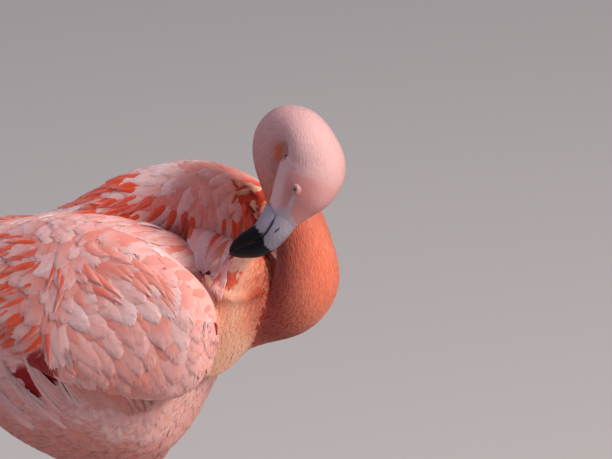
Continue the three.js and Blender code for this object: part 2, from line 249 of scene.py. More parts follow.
def wing_form(side):
    """A folded wing, from the wrist beside the breast to the tips over the tail."""
    lift = profile(-6, -14, -22, 10, 39, 46)

    def place(x, y, z):
        if side < 0:
            return x, -y, z
        forward = min((x - WING_TIP_X) / (BREAST_X - WING_TIP_X), 1)
        return x + 28 * forward, y, z + float(lift(forward))

    crest = [(150, 76, 664), (138, 66, 690), (106, 62, 713), (50, 57, 731),
             (-26, 50, 731), (-100, 40, 704), (-180, 28, 672), (WING_TIP_X, 20, 642)]
    edge = [(154, 82, 630), (148, 90, 590), (114, 96, 560), (56, 100, 550),
            (-30, 100, 554), (-110, 86, 578), (-190, 56, 610), (WING_TIP_X, 27, 633)]
    width = profile(*(34 * np.array([0.3, 0.72, 0.95, 1.0, 0.96, 0.76, 0.46, 0.12])))
    return Form(
        between_lines(curve(*(place(*p) for p in crest)), curve(*(place(*p) for p in edge)), width),
        0.95, coat=profile(4, 5, 5.5, 5.5, 5, 4, 2.5, 1),
    )


def flank_form(side):
    """The plumage of the flank, which swells over the lower edge of the folded wing."""
    upper = [(116, 66, 604), (88, 70, 632), (38, 72, 640), (-14, 68, 622), (-46, 60, 584)]
    lower = [(110, 52, 556), (84, 44, 500), (38, 40, 470), (-14, 42, 476), (-46, 50, 520)]
    return Form(
        between_lines(*(curve(*((x, side * y, z) for x, y, z in line)) for line in (upper, lower)),
                      profile(20, 39, 44, 40, 24)),
        coat=profile(4, 5, 5, 5, 4),
    )


def wrist_form(side):
    """The rounded front end of a folded wing."""
    return Form(along_path(
        curve((112, side * 84, 636), (138, side * 82, 634), (150, side * 80, 634), (157, side * 79, 634)),
        profile(24, 20, 13, 2), profile(50, 44, 30, 4),
    ), coat=profile(5, 4, 3, 1))


wings = {name: wing_form(side) for name, side in SIDES.items()}
wrists = {"right": wrist_form(-1)}
flanks = {name: flank_form(side) for name, side in SIDES.items()}

# %% Neck, head and the swelling at the foot of the neck
FACING = unit(np.array([-0.212, -0.373, -0.906]))  # from the nape to the bill
CROWNWARD = unit(np.array([0.935, -0.349, -0.075]))  # from the throat to the crown
HEAD_RIGHT = unit(np.cross(FACING, CROWNWARD))
BILL_ROOT = np.array([233, -43.5, 772.6])


def on_head(forward, crownward, rightward=0.0):
    """A point in the head's own directions, in millimetres from the root of the bill."""
    return BILL_ROOT + forward * FACING + crownward * CROWNWARD + rightward * HEAD_RIGHT


def head_place(points):
    """Forward, crownward and rightward distances of points from the root of the bill."""
    away = points - BILL_ROOT
    return away @ FACING, away @ CROWNWARD, away @ HEAD_RIGHT


neck_path = curve(
    (112, 14, 596), (156, 14, 622), (200, 6, 653), (223, 0, 688), (220, 4, 724), (206, 12, 757),
    (187, 20, 787), (178, 21, 811), (181, 17, 836), (198, 8, 857), (221, -4, 864), (237, -14, 855),
    on_head(-66, -2), on_head(-44, -5), on_head(-22, -12), on_head(0, -20),
)
neck = Form(along_path(
    neck_path,
    profile(36, 36, 36, 35, 32, 28, 25, 24, 23.5, 23.5, 25, 27, 29, 27, 20, 12.5),
    profile(34, 34, 32, 34, 31, 28, 25, 24, 24, 23.5, 24, 28, 35, 36, 27, 19.5),
    profile(36, 37, 42, 41, 34, 29, 25, 23, 21, 20, 21, 26, 38.5, 41, 33.5, 23.5),
    across_end=-HEAD_RIGHT,
), coat=profile(3, 3, 3, 2.8, 2.6, 2.4, 2.2, 2, 2, 2, 2, 1.8, 1.6, 1.4, 1.0, 0.5))
breast_path = curve((100, 0, 590), (132, -4, 620), (158, -8, 655), (172, -8, 692), (176, -6, 716))
neck_base = Form(along_path(
    breast_path,
    profile(62, 54, 44, 32, 10), profile(60, 50, 42, 30, 10), profile(50, 42, 34, 24, 8),
), coat=profile(3, 3, 2.5, 2, 2))

# a soft fold of the pouch crosses the foot of the neck under the tip of the bill
fold = Form(along_path(
    curve((116, -20, 678), (133, -35, 672), (152, -42, 670), (173, -43, 673), (190, -36, 680)),
    profile(3, 7, 8, 6, 3),
), coat=bare)

# %% Move from the layout to the frame
# The solids were shifted so that their footprint is centred. The trunk shows by how much.
ring_t, ring_a = np.meshgrid(np.linspace(0, 1, 21), np.linspace(0, 2 * np.pi, 22, endpoint=False))
laid_out = trunk.at(ring_t.ravel(), ring_a.ravel())
trunk_low, trunk_high = (np.array(corner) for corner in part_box("trunk"))
SHIFT = (trunk_low + trunk_high) / 2 - (laid_out.min(0) + laid_out.max(0)) / 2 * MM


def to_frame(points):
    """Layout millimetres to metres in the frame."""
    return np.asarray(points) * MM + SHIFT


print("shift of the layout in mm:", np.round(SHIFT / MM, 2))

# %% [markdown]
# ## Camera
#
# The bird is seen from its right, a little ahead of it and well above the back, through a long
# lens that fills the frame with the folded neck and the near wing. A camera only needs a place
# and a target, so both are worked out from two angles and a distance.

# %% Place the camera
CAMERA_AZIMUTH = math.radians(25)
CAMERA_HEIGHT_ANGLE = math.radians(27)
CAMERA_DISTANCE = 5.0
SEEN_WIDTH = 0.6442  # metres across the frame at the target
SENSOR_WIDTH = 36.0
TARGET = Vector(to_frame((225, 0, 745)))  # beside the loop of the neck

camera_data = bpy.data.cameras.new("camera")
camera = bpy.data.objects.new("camera", camera_data)
bpy.context.collection.objects.link(camera)
bpy.context.scene.camera = camera
towards_camera = Vector((
    math.sin(CAMERA_AZIMUTH) * math.cos(CAMERA_HEIGHT_ANGLE),
    -math.cos(CAMERA_AZIMUTH) * math.cos(CAMERA_HEIGHT_ANGLE),
    math.sin(CAMERA_HEIGHT_ANGLE),
))
camera.location = TARGET + CAMERA_DISTANCE * towards_camera
camera.rotation_euler = (-towards_camera).to_track_quat("-Z", "Y").to_euler()
camera_data.sensor_width = SENSOR_WIDTH
camera_data.lens = SENSOR_WIDTH * CAMERA_DISTANCE / SEEN_WIDTH
print("camera height:", round(camera.location.z, 2), "m, lens:", round(camera_data.lens, 1), "mm")

# %% [markdown]
# ## Floor and light
#
# A pale floor and a few soft lamps are all that a studio needs. The warm key lamp stands high and
# in front of the breast, so the bulge of the neck is bright on its outer side and the side towards
# the breast falls into shade. A cool fill lamp on the other side of the camera keeps the shade
# open, and a lamp straight above lights the back and the far wing, which the neck would darken.

# %% Make the floor and the lamps
def surface(name, values):
    """A new material with its tree and its shader; values go to the shader's own sockets."""
    material = bpy.data.materials.new(name)
    material.use_nodes = True
    shader = material.node_tree.nodes["Principled BSDF"]
    for socket, value in values.items():
        shader.inputs[socket].default_value = value
    return material, material.node_tree, shader


def plain_material(name, colour, roughness):
    """A material of one colour."""
    return surface(name, {"Base Color": (*colour, 1), "Roughness": roughness})[0]


def mesh_object(name, vertices, faces, material=None):
    """A new object from arrays of corners and faces."""
    mesh = bpy.data.meshes.new(name)
    mesh.from_pydata([tuple(v) for v in vertices], [], [tuple(f) for f in faces])
    mesh.update()
    made = bpy.data.objects.new(name, mesh)
    bpy.context.collection.objects.link(made)
    if material:
        mesh.materials.append(material)
    mesh.polygons.foreach_set("use_smooth", [True] * len(mesh.polygons))
    return made


FLOOR_REACH = 40.0
floor_corners = [(x, y, 0) for x, y in ((-1, -1), (1, -1), (1, 1), (-1, 1))]
floor = mesh_object(
    "floor", FLOOR_REACH * np.array(floor_corners), [(0, 1, 2, 3)],
    plain_material("pale floor", (0.50, 0.48, 0.46), 0.9),
)


def lamp(name, place, size, power, colour):
    """A square soft lamp at a place, turned to the target."""
    data = bpy.data.lights.new(name, "AREA")
    data.size = size
    data.energy = power
    data.color = colour
    made = bpy.data.objects.new(name, data)
    bpy.context.collection.objects.link(made)
    made.location = place
    made.rotation_euler = (TARGET - made.location).to_track_quat("-Z", "Y").to_euler()
    return made


lamp("key lamp", (3.5, -0.9, 3.6), 0.8, 250, (1.0, 0.92, 0.82))
lamp("fill lamp", (-1.2, -3.8, 2.6), 2.6, 22, (0.84, 0.84, 1.0))
lamp("top lamp", (-1.2, 0.2, 4.4), 2.2, 46, (0.92, 0.88, 1.0))
world = bpy.data.worlds.new("studio")
bpy.context.scene.world = world
world.use_nodes = True
background = world.node_tree.nodes["Background"]
background.inputs["Color"].default_value = (0.78, 0.76, 1.0, 1)
background.inputs["Strength"].default_value = 0.24
print("lamps:", [light.name for light in bpy.data.lights])
bpy.context.scene.view_settings.view_transform = "Standard"

# %% [markdown]
# ## One skin
#
# Under the plumage the bird has a single skin. Lofts of every form, drawn in by the depth of the
# coat, are overlapped and remeshed with voxels, which melts them into one closed surface, and a
# few rounds of smoothing take out the creases where they met. The same surface later tells which
# feathers would start inside the body, so that none is made there.

# %% Walls and tubes through rings of corners
def wall_faces(rings, sides):
    """Quads between closed rings of corners."""
    rows = [(i * sides, (i + 1) * sides) for i in range(rings - 1)]
    turns = [(j, (j + 1) % sides) for j in range(sides)]
    return [(low + j, low + k, high + k, high + j) for j, k in turns for low, high in rows]


def tube(rows, ends=None):
    """Corners and faces of a tube through rings of corners, closed at each end by a fan."""
    rings, sides, _ = rows.shape
    first_end, last_end = ends or (rows[0].mean(0), rows[-1].mean(0))
    count, last_row = rings * sides, (rings - 1) * sides
    faces = []
    for j in range(sides):
        k = (j + 1) % sides
        faces += [(count, k, j), (count + 1, last_row + j, last_row + k)]
    return np.vstack([rows.reshape(-1, 3), first_end, last_end]), faces + wall_faces(rings, sides)


def loft_mesh(form, start=0.0, end=1.0, rings=60, sides=40):
    """Corners and faces of a closed loft over a form's skin, in the frame."""
    t, a = np.meshgrid(np.linspace(start, end, rings + 1), np.linspace(0, 2 * np.pi, sides, endpoint=False),
                       indexing="ij")
    points, faces = tube(form.skin(t.ravel(), a.ravel()).reshape(rings + 1, sides, 3))
    return to_frame(points), faces


def gather(parts):
    """Several sets of corners and faces as one."""
    points, faces, count = [], [], 0
    for corners, part_faces in parts:
        points.append(corners)
        faces += [tuple(i + count for i in face) for face in part_faces]
        count += len(corners)
    return np.vstack(points), faces


def finished_mesh(obj, name):
    """The object with its modifiers turned into a plain mesh."""
    depsgraph = bpy.context.evaluated_depsgraph_get()
    mesh = bpy.data.meshes.new_from_object(obj.evaluated_get(depsgraph))
    old = obj.data
    obj.modifiers.clear()
    obj.data = mesh
    mesh.name = name
    bpy.data.meshes.remove(old)
    return obj


def point_outwards(obj, towards=None):
    """Turns the faces of a closed piece outwards, or those of an open one towards a direction."""
    bm = bmesh.new()
    bm.from_mesh(obj.data)
    bmesh.ops.recalc_face_normals(bm, faces=bm.faces)
    bm.faces.ensure_lookup_table()
    if towards is not None and bm.faces[0].normal.dot(Vector(towards)) < 0:
        bmesh.ops.reverse_faces(bm, faces=bm.faces)
    bm.to_mesh(obj.data)
    bm.free()


def solid_piece(name, points, faces, material=None, towards=None):
    """A piece from corners in layout millimetres, with its faces turned the right way."""
    made = mesh_object(name, to_frame(points), faces, material)
    point_outwards(made, towards)
    return made


def melt(obj, voxel, rounds):
    """Melts the overlapping lofts of a piece into one closed surface and smooths it."""
    remesh = obj.modifiers.new("melt", "REMESH")
    remesh.mode = "VOXEL"
    remesh.voxel_size = voxel
    soften = obj.modifiers.new("soften", "SMOOTH")
    soften.factor = 0.5
    soften.iterations = rounds
    finished_mesh(obj, obj.name)
    print(obj.name + ":", len(obj.data.polygons), "faces")


# %% Loft the forms and melt them together
SKIN_VOXEL = 0.0036
parts = [loft_mesh(trunk), loft_mesh(tail, 0, 0.9, 16, 24)]
parts += [loft_mesh(neck, 0, 1, 150, 40), loft_mesh(neck_base)]
parts += [loft_mesh(form, 0, THIGH_END + 0.02, 16, 24) for form in legs.values()]
parts += [loft_mesh(form, 0, 0.97) for form in wings.values()]
parts += [loft_mesh(form, 0, 1, 30, 30) for form in (*flanks.values(), *wrists.values(), mantle, fold)]
skin = mesh_object("skin", *gather(parts))
melt(skin, SKIN_VOXEL, 6)

# %% Ask the skin whether a place is buried
skin_tree = BVHTree.FromObject(skin, bpy.context.evaluated_depsgraph_get())


def buried(points, depth):
    """Which of the points, in layout millimetres, lie deeper inside the skin than a depth."""
    hidden = np.zeros(len(points), bool)
    for i, point in enumerate(to_frame(points)):
        place, normal, _, distance = skin_tree.find_nearest(Vector(point))
        hidden[i] = distance > depth * MM and (Vector(point) - place).dot(normal) < 0
    return hidden


# %% Read the corners of a piece and write its colours
def layout_points(obj):
    """The corners of a finished piece in layout millimetres."""
    corners = np.empty(len(obj.data.vertices) * 3)
    obj.data.vertices.foreach_get("co", corners)
    return (corners.reshape(-1, 3) - SHIFT) / MM


def write_tint(obj, colours):
    """Stores a colour for each corner of a piece."""
    layer = obj.data.color_attributes.new("tint", "FLOAT_COLOR", "POINT")
    layer.data.foreach_set("color", np.hstack([np.clip(colours, 0, 1), np.ones((len(colours), 1))]).ravel())


# %% [markdown]
# ## How a feather is laid
#
# A feather is a thin vane: a grid of a few rows from quill to tip and a few columns across. Its
# quill starts on the skin, and each row is found by walking a little further over the form in the
# way the plumage lies, so even a long feather hugs the body. The vane rises from root to tip by
# the depth of the coat, and so each feather covers the roots of the next ones, as roof tiles do.
# All feathers of a piece are worked out at once as arrays, which is quick even for thousands.

# %% Scatter roots evenly over a form
GRID_ALONG, GRID_ROUND = 160, 120  # cells of the grid that a form's area is measured on
TRIES = 5  # how many times more roots are tried than would fit
NEIGHBOURS = [(x, y, z) for x in (-1, 0, 1) for y in (-1, 0, 1) for z in (-1, 0, 1)]


def thinned(points, gap):
    """Which of the points to keep so that each is at least its gap away from those before it."""
    cell = gap.max()
    filled, kept = {}, []
    for i, (x, y, z) in enumerate(points.tolist()):
        i_x, i_y, i_z = int(x // cell), int(y // cell), int(z // cell)
        if not any((qx - x) ** 2 + (qy - y) ** 2 + (qz - z) ** 2 < gap[i] ** 2
                   for dx, dy, dz in NEIGHBOURS
                   for qx, qy, qz in filled.get((i_x + dx, i_y + dy, i_z + dz), ())):
            filled.setdefault((i_x, i_y, i_z), []).append((x, y, z))
            kept.append(i)
    return kept


def scatter(form, spacing, seed, start=0.0, end=1.0, keep=None):
    """Places (t, a) about a spacing apart over a form; spacing in millimetres is a function of place."""
    rng = np.random.default_rng(seed)
    t, a = np.meshgrid(np.linspace(start, end, GRID_ALONG),
                       np.linspace(0, 2 * np.pi, GRID_ROUND, endpoint=False), indexing="ij")
    t, a = t.ravel(), a.ravel()
    by_t, by_a, _ = form.slopes(t, a)
    step_t, step_a = (end - start) / GRID_ALONG, 2 * np.pi / GRID_ROUND
    area = np.linalg.norm(np.cross(by_t, by_a), axis=1) * step_t * step_a
    weight = area / spacing(form.skin(t, a), t, a) ** 2
    count = int(weight.sum() * TRIES)
    chosen = rng.choice(len(t), count, p=weight / weight.sum())
    t = np.clip(t[chosen] + rng.uniform(-0.5, 0.5, count) * step_t, start, end)
    a = a[chosen] + rng.uniform(-0.5, 0.5, count) * step_a
    points = form.skin(t, a)
    kept = thinned(points, spacing(points, t, a))
    t, a = t[kept], a[kept]
    if keep is not None and len(t):
        chosen = keep(form.skin(t, a), t, a)
        t, a = t[chosen], a[chosen]
    return t, a


# %% Outlines of a feather
def rounded(s):
    """Half width of a soft body feather from quill to tip, as a share of its widest."""
    foot = np.minimum(1, (s / 0.35) ** 0.6 + 0.12)
    return foot * np.sqrt(np.clip(1 - (np.clip(s - 0.5, 0, 1) / 0.5) ** 2.4, 0, 1))


def pointed(s):
    """Half width of a lance-shaped feather."""
    return np.minimum(1, (s / 0.3) ** 0.7 + 0.15) * np.clip(1 - (np.clip(s - 0.3, 0, 1) / 0.7) ** 1.7, 0, 1)


# %% Keep vanes on the one skin
STRETCH, SLACK = 1.5, 4.0  # a vane longer than this many times its size, and some millimetres, has strayed


def over_skin(points, outwards, heights):
    """The points moved outwards or inwards, so that each is at its height above the one skin."""
    spots = to_frame(points).reshape(-1, 3).tolist()
    nearest = np.array([skin_tree.find_nearest(spot)[0] for spot in spots])
    away = (nearest.reshape(points.shape) - SHIFT) / MM - points
    return points + outwards * (dot(away, outwards) + heights[..., None])


def stray(corners, size, guard):
    """Which vanes have run off their form: drawn out, or more than a guard away from the skin."""
    last_row, middle = corners.shape[1] - 1, (corners.shape[2] - 1) // 2
    spread = np.linalg.norm(corners - corners[:, :1, middle:middle + 1], axis=-1).max((1, 2))
    found = spread > STRETCH * size + SLACK
    for i in np.flatnonzero(~found):
        for j in (last_row // 2, last_row):
            _, _, _, distance = skin_tree.find_nearest(Vector(to_frame(corners[i, j, middle])))
            found[i] |= distance > guard * MM
    return found


# %% Lay vanes over a form
BEYOND = 0.01  # how far past the ends of its form a vane may reach, in t


def lay(form, t, a, flow, length, width, lift, rows=6, columns=4, seed=1, outline=rounded,
        yaw=0.14, fray=0.0, puff=0.12, wave=0.0, sink=0.5, droop=0.25, guard=8.0, snug=True):
    """Vane corners in millimetres, as an array by feather, row and column, with s and w of each.

    Each vane is turned a little by yaw; fray makes its rim ragged, puff its middle round, wave its
    face uneven, and droop lowers its rims. Its quill starts a sink below the skin.
    """
    rng = np.random.default_rng(seed)
    count = len(t)
    turn = rng.normal(0, yaw, count)[:, None]
    s = np.linspace(0, 1, rows + 1)
    w = np.linspace(-1, 1, columns + 1)
    here_t, here_a = t.copy(), a.copy()
    corners = np.empty((count, rows + 1, columns + 1, 3))
    normals = np.empty_like(corners)
    heights = np.empty(corners.shape[:3])
    shake = rng.uniform(-1, 1, heights.shape)
    for i in range(rows + 1):
        by_t, by_a, out = form.slopes(here_t, here_a)
        way = flow(form.skin(here_t, here_a), here_t, here_a)
        way = unit(way - dot(way, out) * out)
        side = np.cross(out, way)
        way, side = way * np.cos(turn) + side * np.sin(turn), side * np.cos(turn) - way * np.sin(turn)
        aside = form.steps(by_t, by_a, side)
        ahead = form.steps(by_t, by_a, way)
        half = width * outline(s[i])
        for j in range(columns + 1):
            ragged = 1 + (fray * shake[:, i, j] if abs(w[j]) == 1 else 0)
            reach = half * w[j] * ragged
            sweep = fray * 0.4 * shake[:, i, j] * width if i == rows else 0.0
            place_t = np.clip(here_t + aside[:, 0] * reach + ahead[:, 0] * sweep, -BEYOND, 1 + BEYOND)
            place_a = here_a + aside[:, 1] * reach + ahead[:, 1] * sweep
            swell = puff * width * (1 - w[j] ** 2) * np.sin(np.pi * (0.06 + 0.9 * s[i])) ** 0.7
            raised = lift * s[i] * (1 - 0.15 * smooth(s[i], 0.75, 1.0) - droop * abs(w[j]) ** 3)
            heights[:, i, j] = raised - sink + swell + wave * shake[:, i, j] * s[i]
            _, _, normals[:, i, j] = form.slopes(place_t, place_a)
            corners[:, i, j] = form.skin(place_t, place_a) + normals[:, i, j] * heights[:, i, j][:, None]
        if i < rows:
            here_t = np.clip(here_t + ahead[:, 0] * length / rows, -BEYOND, 1 + BEYOND)
            here_a = here_a + ahead[:, 1] * length / rows
    strayed = stray(corners, np.maximum(length, width), guard)
    corners[strayed] = corners[strayed][:, :1, :1]
    if snug:
        corners[~strayed] = over_skin(corners[~strayed], normals[~strayed], heights[~strayed])
    return corners, s, w


# %% Turn vanes into a piece with a bake map and colours
PATCH = 0.003  # side of the patch of each feather in the bake map


def vane_piece(name, groups, material):
    """One mesh from groups of vanes; each group is (corners, root_u, root_v, colour)."""
    points, faces, colours, bake, vane = [], [], [], [], []
    first = 0
    for corners, root_u, root_v, colour in groups:
        count, rows, columns, _ = corners.shape
        index = np.arange(count * rows * columns).reshape(count, rows, columns) + first
        whole = np.ptp(corners.reshape(count, -1, 3), axis=1).max(1) > 0
        index = index[whole]
        quads = np.stack([index[:, :-1, :-1], index[:, 1:, :-1], index[:, 1:, 1:], index[:, :-1, 1:]], -1)
        first += count * rows * columns
        points.append(corners.reshape(-1, 3))
        faces.append(quads.reshape(-1, 4))
        colours.append(colour.reshape(-1, 3))
        along = np.broadcast_to(np.linspace(0, 1, rows)[None, :, None], (count, rows, columns))
        over = np.broadcast_to(np.linspace(-1, 1, columns)[None, None, :], (count, rows, columns))
        bake.append(np.stack([root_u[:, None, None] + PATCH * (along - 0.5),
                              root_v[:, None, None] + PATCH * over / 2], -1).reshape(-1, 2))
        vane.append(np.stack([along, over / 2 + 0.5], -1).reshape(-1, 2))
    points, faces = to_frame(np.vstack(points)), np.vstack(faces)
    colours, bake, vane = np.vstack(colours), np.vstack(bake), np.vstack(vane)
    mesh = bpy.data.meshes.new(name)
    mesh.vertices.add(len(points))
    mesh.vertices.foreach_set("co", points.ravel())
    mesh.loops.add(faces.size)
    mesh.loops.foreach_set("vertex_index", faces.ravel())
    mesh.polygons.add(len(faces))
    mesh.polygons.foreach_set("loop_start", np.arange(0, faces.size, 4))
    mesh.polygons.foreach_set("use_smooth", np.ones(len(faces), bool))
    mesh.update(calc_edges=True)
    mesh.validate()
    for map_name, values in (("OFBake", bake), ("Vane", vane)):
        layer = mesh.uv_layers.new(name=map_name)
        layer.uv.foreach_set("vector", values[faces.ravel()].ravel())
    mesh.materials.append(material)
    made = bpy.data.objects.new(name, mesh)
    write_tint(made, colours)
    bpy.context.collection.objects.link(made)
    print(name + ":", sum(len(g[0]) for g in groups), "feathers,", 2 * len(faces), "triangles")
    return made


def bake_place(t, a, column=0, columns=1):
    """Where roots lie on the unwrap of a form: its length by its girth, in one column of several."""
    u = (column + 0.03 + 0.94 * np.clip(t, 0, 1)) / columns
    return u, 0.02 + 0.96 * (np.mod(a, 2 * np.pi) / (2 * np.pi))


# %% Feathers that hang loose over the skin
def touch(points, look, height, reach=60.0):
    """Places on the skin, raised by a height, seen against look from a little way off."""
    look = unit(np.array(look, float))
    found = np.full(np.shape(points), np.nan)
    for k, point in enumerate(points):
        start = Vector(to_frame(point + look * reach))
        hit, _, _, _ = skin_tree.ray_cast(start, Vector(-look), 2 * reach * MM)
        if hit is not None:
            found[k] = (np.array(hit) - SHIFT) / MM + look * height
    return found


def bowed(places, half, look, outline, rows=10, columns=4):
    """Vanes in a bow from a first place by a second to a third, broad side towards look."""
    places = np.asarray(places, float)
    look = unit(np.array(look, float))
    s, w = np.linspace(0, 1, rows + 1), np.linspace(-1, 1, columns + 1)
    corners = np.empty((len(places), rows + 1, columns + 1, 3))
    root, bend, tip = places[:, 0], places[:, 1], places[:, 2]
    for i, share in enumerate(s):
        middle = (1 - share) ** 2 * root + 2 * share * (1 - share) * bend + share**2 * tip
        side = unit(np.cross(look, (1 - share) * (bend - root) + share * (tip - bend)))
        for j, aside in enumerate(w):
            corners[:, i, j] = middle + side * (half * outline(share) * aside)[:, None]
    return corners, s, w


# %% Loose barbs past the rim
def fringe(corners, colour, root_u, root_v, count, reach, width, seed, start=0.45):
    """Slivers that stick out past the rim of each vane, so that its edge is soft; a group of vanes."""
    rng = np.random.default_rng(seed)
    feathers, rows, columns, _ = corners.shape
    whole = np.ptp(corners.reshape(feathers, -1, 3), axis=1).max(1) > 0
    pick = np.repeat(np.flatnonzero(whole), count)
    w = rng.uniform(-0.92, 0.92, len(pick))
    s = np.clip(1 - (1 - start) * rng.uniform(0, 1, len(pick)) * np.abs(w) - 0.12, 0, 0.97)
    x, y = s * (rows - 1), (w / 2 + 0.5) * (columns - 1)
    i, j = np.minimum(x.astype(int), rows - 2), np.minimum(y.astype(int), columns - 2)
    p, q = (x - i)[:, None], (y - j)[:, None]
    low, high = corners[pick, i, j], corners[pick, i, j + 1]
    low_next, high_next = corners[pick, i + 1, j], corners[pick, i + 1, j + 1]
    place = (low * (1 - q) + high * q) * (1 - p) + (low_next * (1 - q) + high_next * q) * p
    along = unit((low_next - low) * (1 - q) + (high_next - high) * q)
    across = unit((high - low) * (1 - p) + (high_next - low_next) * p)
    out = unit(np.cross(along, across))
    way = unit(along + across * (0.75 * w + rng.normal(0, 0.12, len(pick)))[:, None])
    side = np.cross(out, way)
    length = reach * rng.uniform(0.6, 1.3, len(pick))[:, None]
    slivers = np.empty((len(pick), 3, 2, 3))
    for row, (ahead, half) in enumerate([(0.0, 0.45), (0.55, 0.5), (1.0, 0.08)]):
        middle = place + way * length * ahead + out * (0.22 - 0.05 * length * ahead**2)
        slivers[:, row, 0] = middle - side * width * half
        slivers[:, row, 1] = middle + side * width * half
    tint = colour[pick, i, j] * (1 - p) + colour[pick, i + 1, j] * p
    tint = tint * rng.uniform(0.93, 1.07, (len(pick), 1))
    return slivers, root_u[pick], root_v[pick], np.broadcast_to(tint[:, None, None, :], slivers.shape)

# %% [markdown]
# ## Plumage colours
#
# The bird is pale pink with orange-red streaks on the wings, peach at the foot of the neck,
# salmon orange on the lower neck and nearly white on the face. Each feather corner carries its
# own colour in the attribute `tint`, so skin and coat share the same markings. The material adds
# the fine barbs: slanting lines on both sides of the quill that only roughen the light.

# %% Colours, as linear red, green and blue
PALE = np.array([0.83, 0.52, 0.50])
PINK = np.array([0.79, 0.31, 0.27])
ROSE = np.array([0.72, 0.19, 0.14])
STREAK = np.array([0.72, 0.07, 0.018])
CRIMSON = np.array([0.30, 0.008, 0.012])
PEACH = np.array([0.82, 0.44, 0.30])
SALMON = np.array([0.70, 0.17, 0.085])
EMBER = np.array([0.66, 0.07, 0.022])
FACE = np.array([0.73, 0.47, 0.47])
BLUSH = np.array([0.52, 0.20, 0.19])
WHITE = np.array([0.90, 0.76, 0.74])
NIGHT = np.array([0.0045, 0.0045, 0.007])


def mix(first, second, share):
    """A colour between two, for an array of shares."""
    return first + (second - first) * np.asarray(share)[..., None]


def bumpy(points, size, seed=0):
    """A soft random field over space, between 0 and 1, with lumps of about a size."""
    rng = np.random.default_rng(seed)
    total = np.zeros(points.shape[:-1])
    for _ in range(5):
        wave = unit(rng.normal(size=3)) * 2 * np.pi / (size * rng.uniform(1.2, 2.6))
        total += np.sin(points @ wave + rng.uniform(0, 2 * np.pi))
    return np.clip(0.5 + total / 5, 0, 1)


# %% Pieces of a node tree
def node(tree, kind, **settings):
    """Adds a node with its settings."""
    made = tree.nodes.new(kind)
    for key, value in settings.items():
        setattr(made, key, value)
    return made


def noise_texture(tree, scale, detail):
    """Fine noise that is fixed to the piece."""
    place = node(tree, "ShaderNodeTexCoord")
    noise = node(tree, "ShaderNodeTexNoise")
    noise.inputs["Scale"].default_value = scale
    noise.inputs["Detail"].default_value = detail
    tree.links.new(place.outputs["Object"], noise.inputs["Vector"])
    return noise.outputs["Fac"]


def mapped(tree, value, limits):
    """A value brought to other limits."""
    made = node(tree, "ShaderNodeMapRange")
    for socket, limit in limits.items():
        made.inputs[socket].default_value = limit
    tree.links.new(value, made.inputs["Value"])
    return made.outputs["Result"]


def worked_out(tree, operation, *terms):
    """The result of one step of arithmetic on numbers and sockets."""
    made = node(tree, "ShaderNodeMath", operation=operation)
    for socket, term in zip(made.inputs, terms):
        if isinstance(term, float):
            socket.default_value = term
        else:
            tree.links.new(term, socket)
    return made.outputs["Value"]


def show_tint(tree, shader, share=None):
    """Colours the surface with its tint, scaled by a share where there is one."""
    tint = node(tree, "ShaderNodeAttribute", attribute_name="tint").outputs["Color"]
    if share is not None:
        shade = node(tree, "ShaderNodeVectorMath", operation="SCALE")
        tree.links.new(tint, shade.inputs[0])
        tree.links.new(share, shade.inputs["Scale"])
        tint = shade.outputs["Vector"]
    tree.links.new(tint, shader.inputs["Base Color"])


def relief(tree, shader, height, strength, depth=0.0004):
    """Shows a height as fine relief, some tenths of a millimetre deep."""
    bump = node(tree, "ShaderNodeBump")
    bump.inputs["Strength"].default_value = strength
    bump.inputs["Distance"].default_value = depth
    tree.links.new(height, bump.inputs["Height"])
    tree.links.new(bump.outputs["Normal"], shader.inputs["Normal"])


# %% Finishes that show the tint
def feather_material(name, barbs, slant, strength, roughness=0.75, mottling=260.0):
    """Plumage: the tint, slightly mottled, with slanting barbs on both sides of the quill."""
    material, tree, shader = surface(name, {"Roughness": roughness, "Specular IOR Level": 0.2,
                                            "Sheen Weight": 0.12, "Sheen Roughness": 0.5})
    mottled = mapped(tree, noise_texture(tree, mottling, 3), {"To Min": 0.88, "To Max": 1.10})
    show_tint(tree, shader, mottled)
    vane = node(tree, "ShaderNodeUVMap", uv_map="Vane")
    split = node(tree, "ShaderNodeSeparateXYZ")
    tree.links.new(vane.outputs["UV"], split.inputs["Vector"])
    from_quill = worked_out(tree, "ABSOLUTE", worked_out(tree, "SUBTRACT", split.outputs["Y"], 0.5))
    slanted = worked_out(tree, "MULTIPLY_ADD", from_quill, -slant, split.outputs["X"])
    ridges = worked_out(tree, "SINE", worked_out(tree, "MULTIPLY", slanted, barbs * 2 * math.pi))
    relief(tree, shader, ridges, strength)
    return material


def tinted_material(name, roughness, grain, grain_scale, coat=0.0, specular=0.5, detail=4, depth=0.0005):
    """A surface that shows its tint, with a fine grain in relief."""
    material, tree, shader = surface(name, {"Roughness": roughness, "Coat Weight": coat,
                                            "Coat Roughness": 0.15, "Specular IOR Level": specular})
    show_tint(tree, shader)
    relief(tree, shader, noise_texture(tree, grain_scale, detail), grain, depth)
    return material


vane_finish = feather_material("long vanes", 30, 0.9, 0.35)
down_finish = feather_material("soft body feathers", 16, 0.8, 0.3)
short_finish = feather_material("short neck feathers", 5, 0.4, 0.25, 0.7, 420.0)

# %% [markdown]
# ## Where the plumage lies
#
# On the neck and the head feathers point away from the bill, towards the breast. On the wings
# they spread like a fan from the top of the wrist: back along the crest, and straight down along
# the front edge before they turn back underneath. On the trunk they run back and a little down.

# %% Directions in which feathers lie
def steady(*direction):
    """The same direction everywhere."""
    way = unit(np.array(direction, float))
    return lambda points, t, a: np.broadcast_to(way, points.shape)


def against(form_path):
    """Back along a path, from its end to its start."""
    return lambda points, t, a: -heading(form_path, np.clip(t, 0, 1))

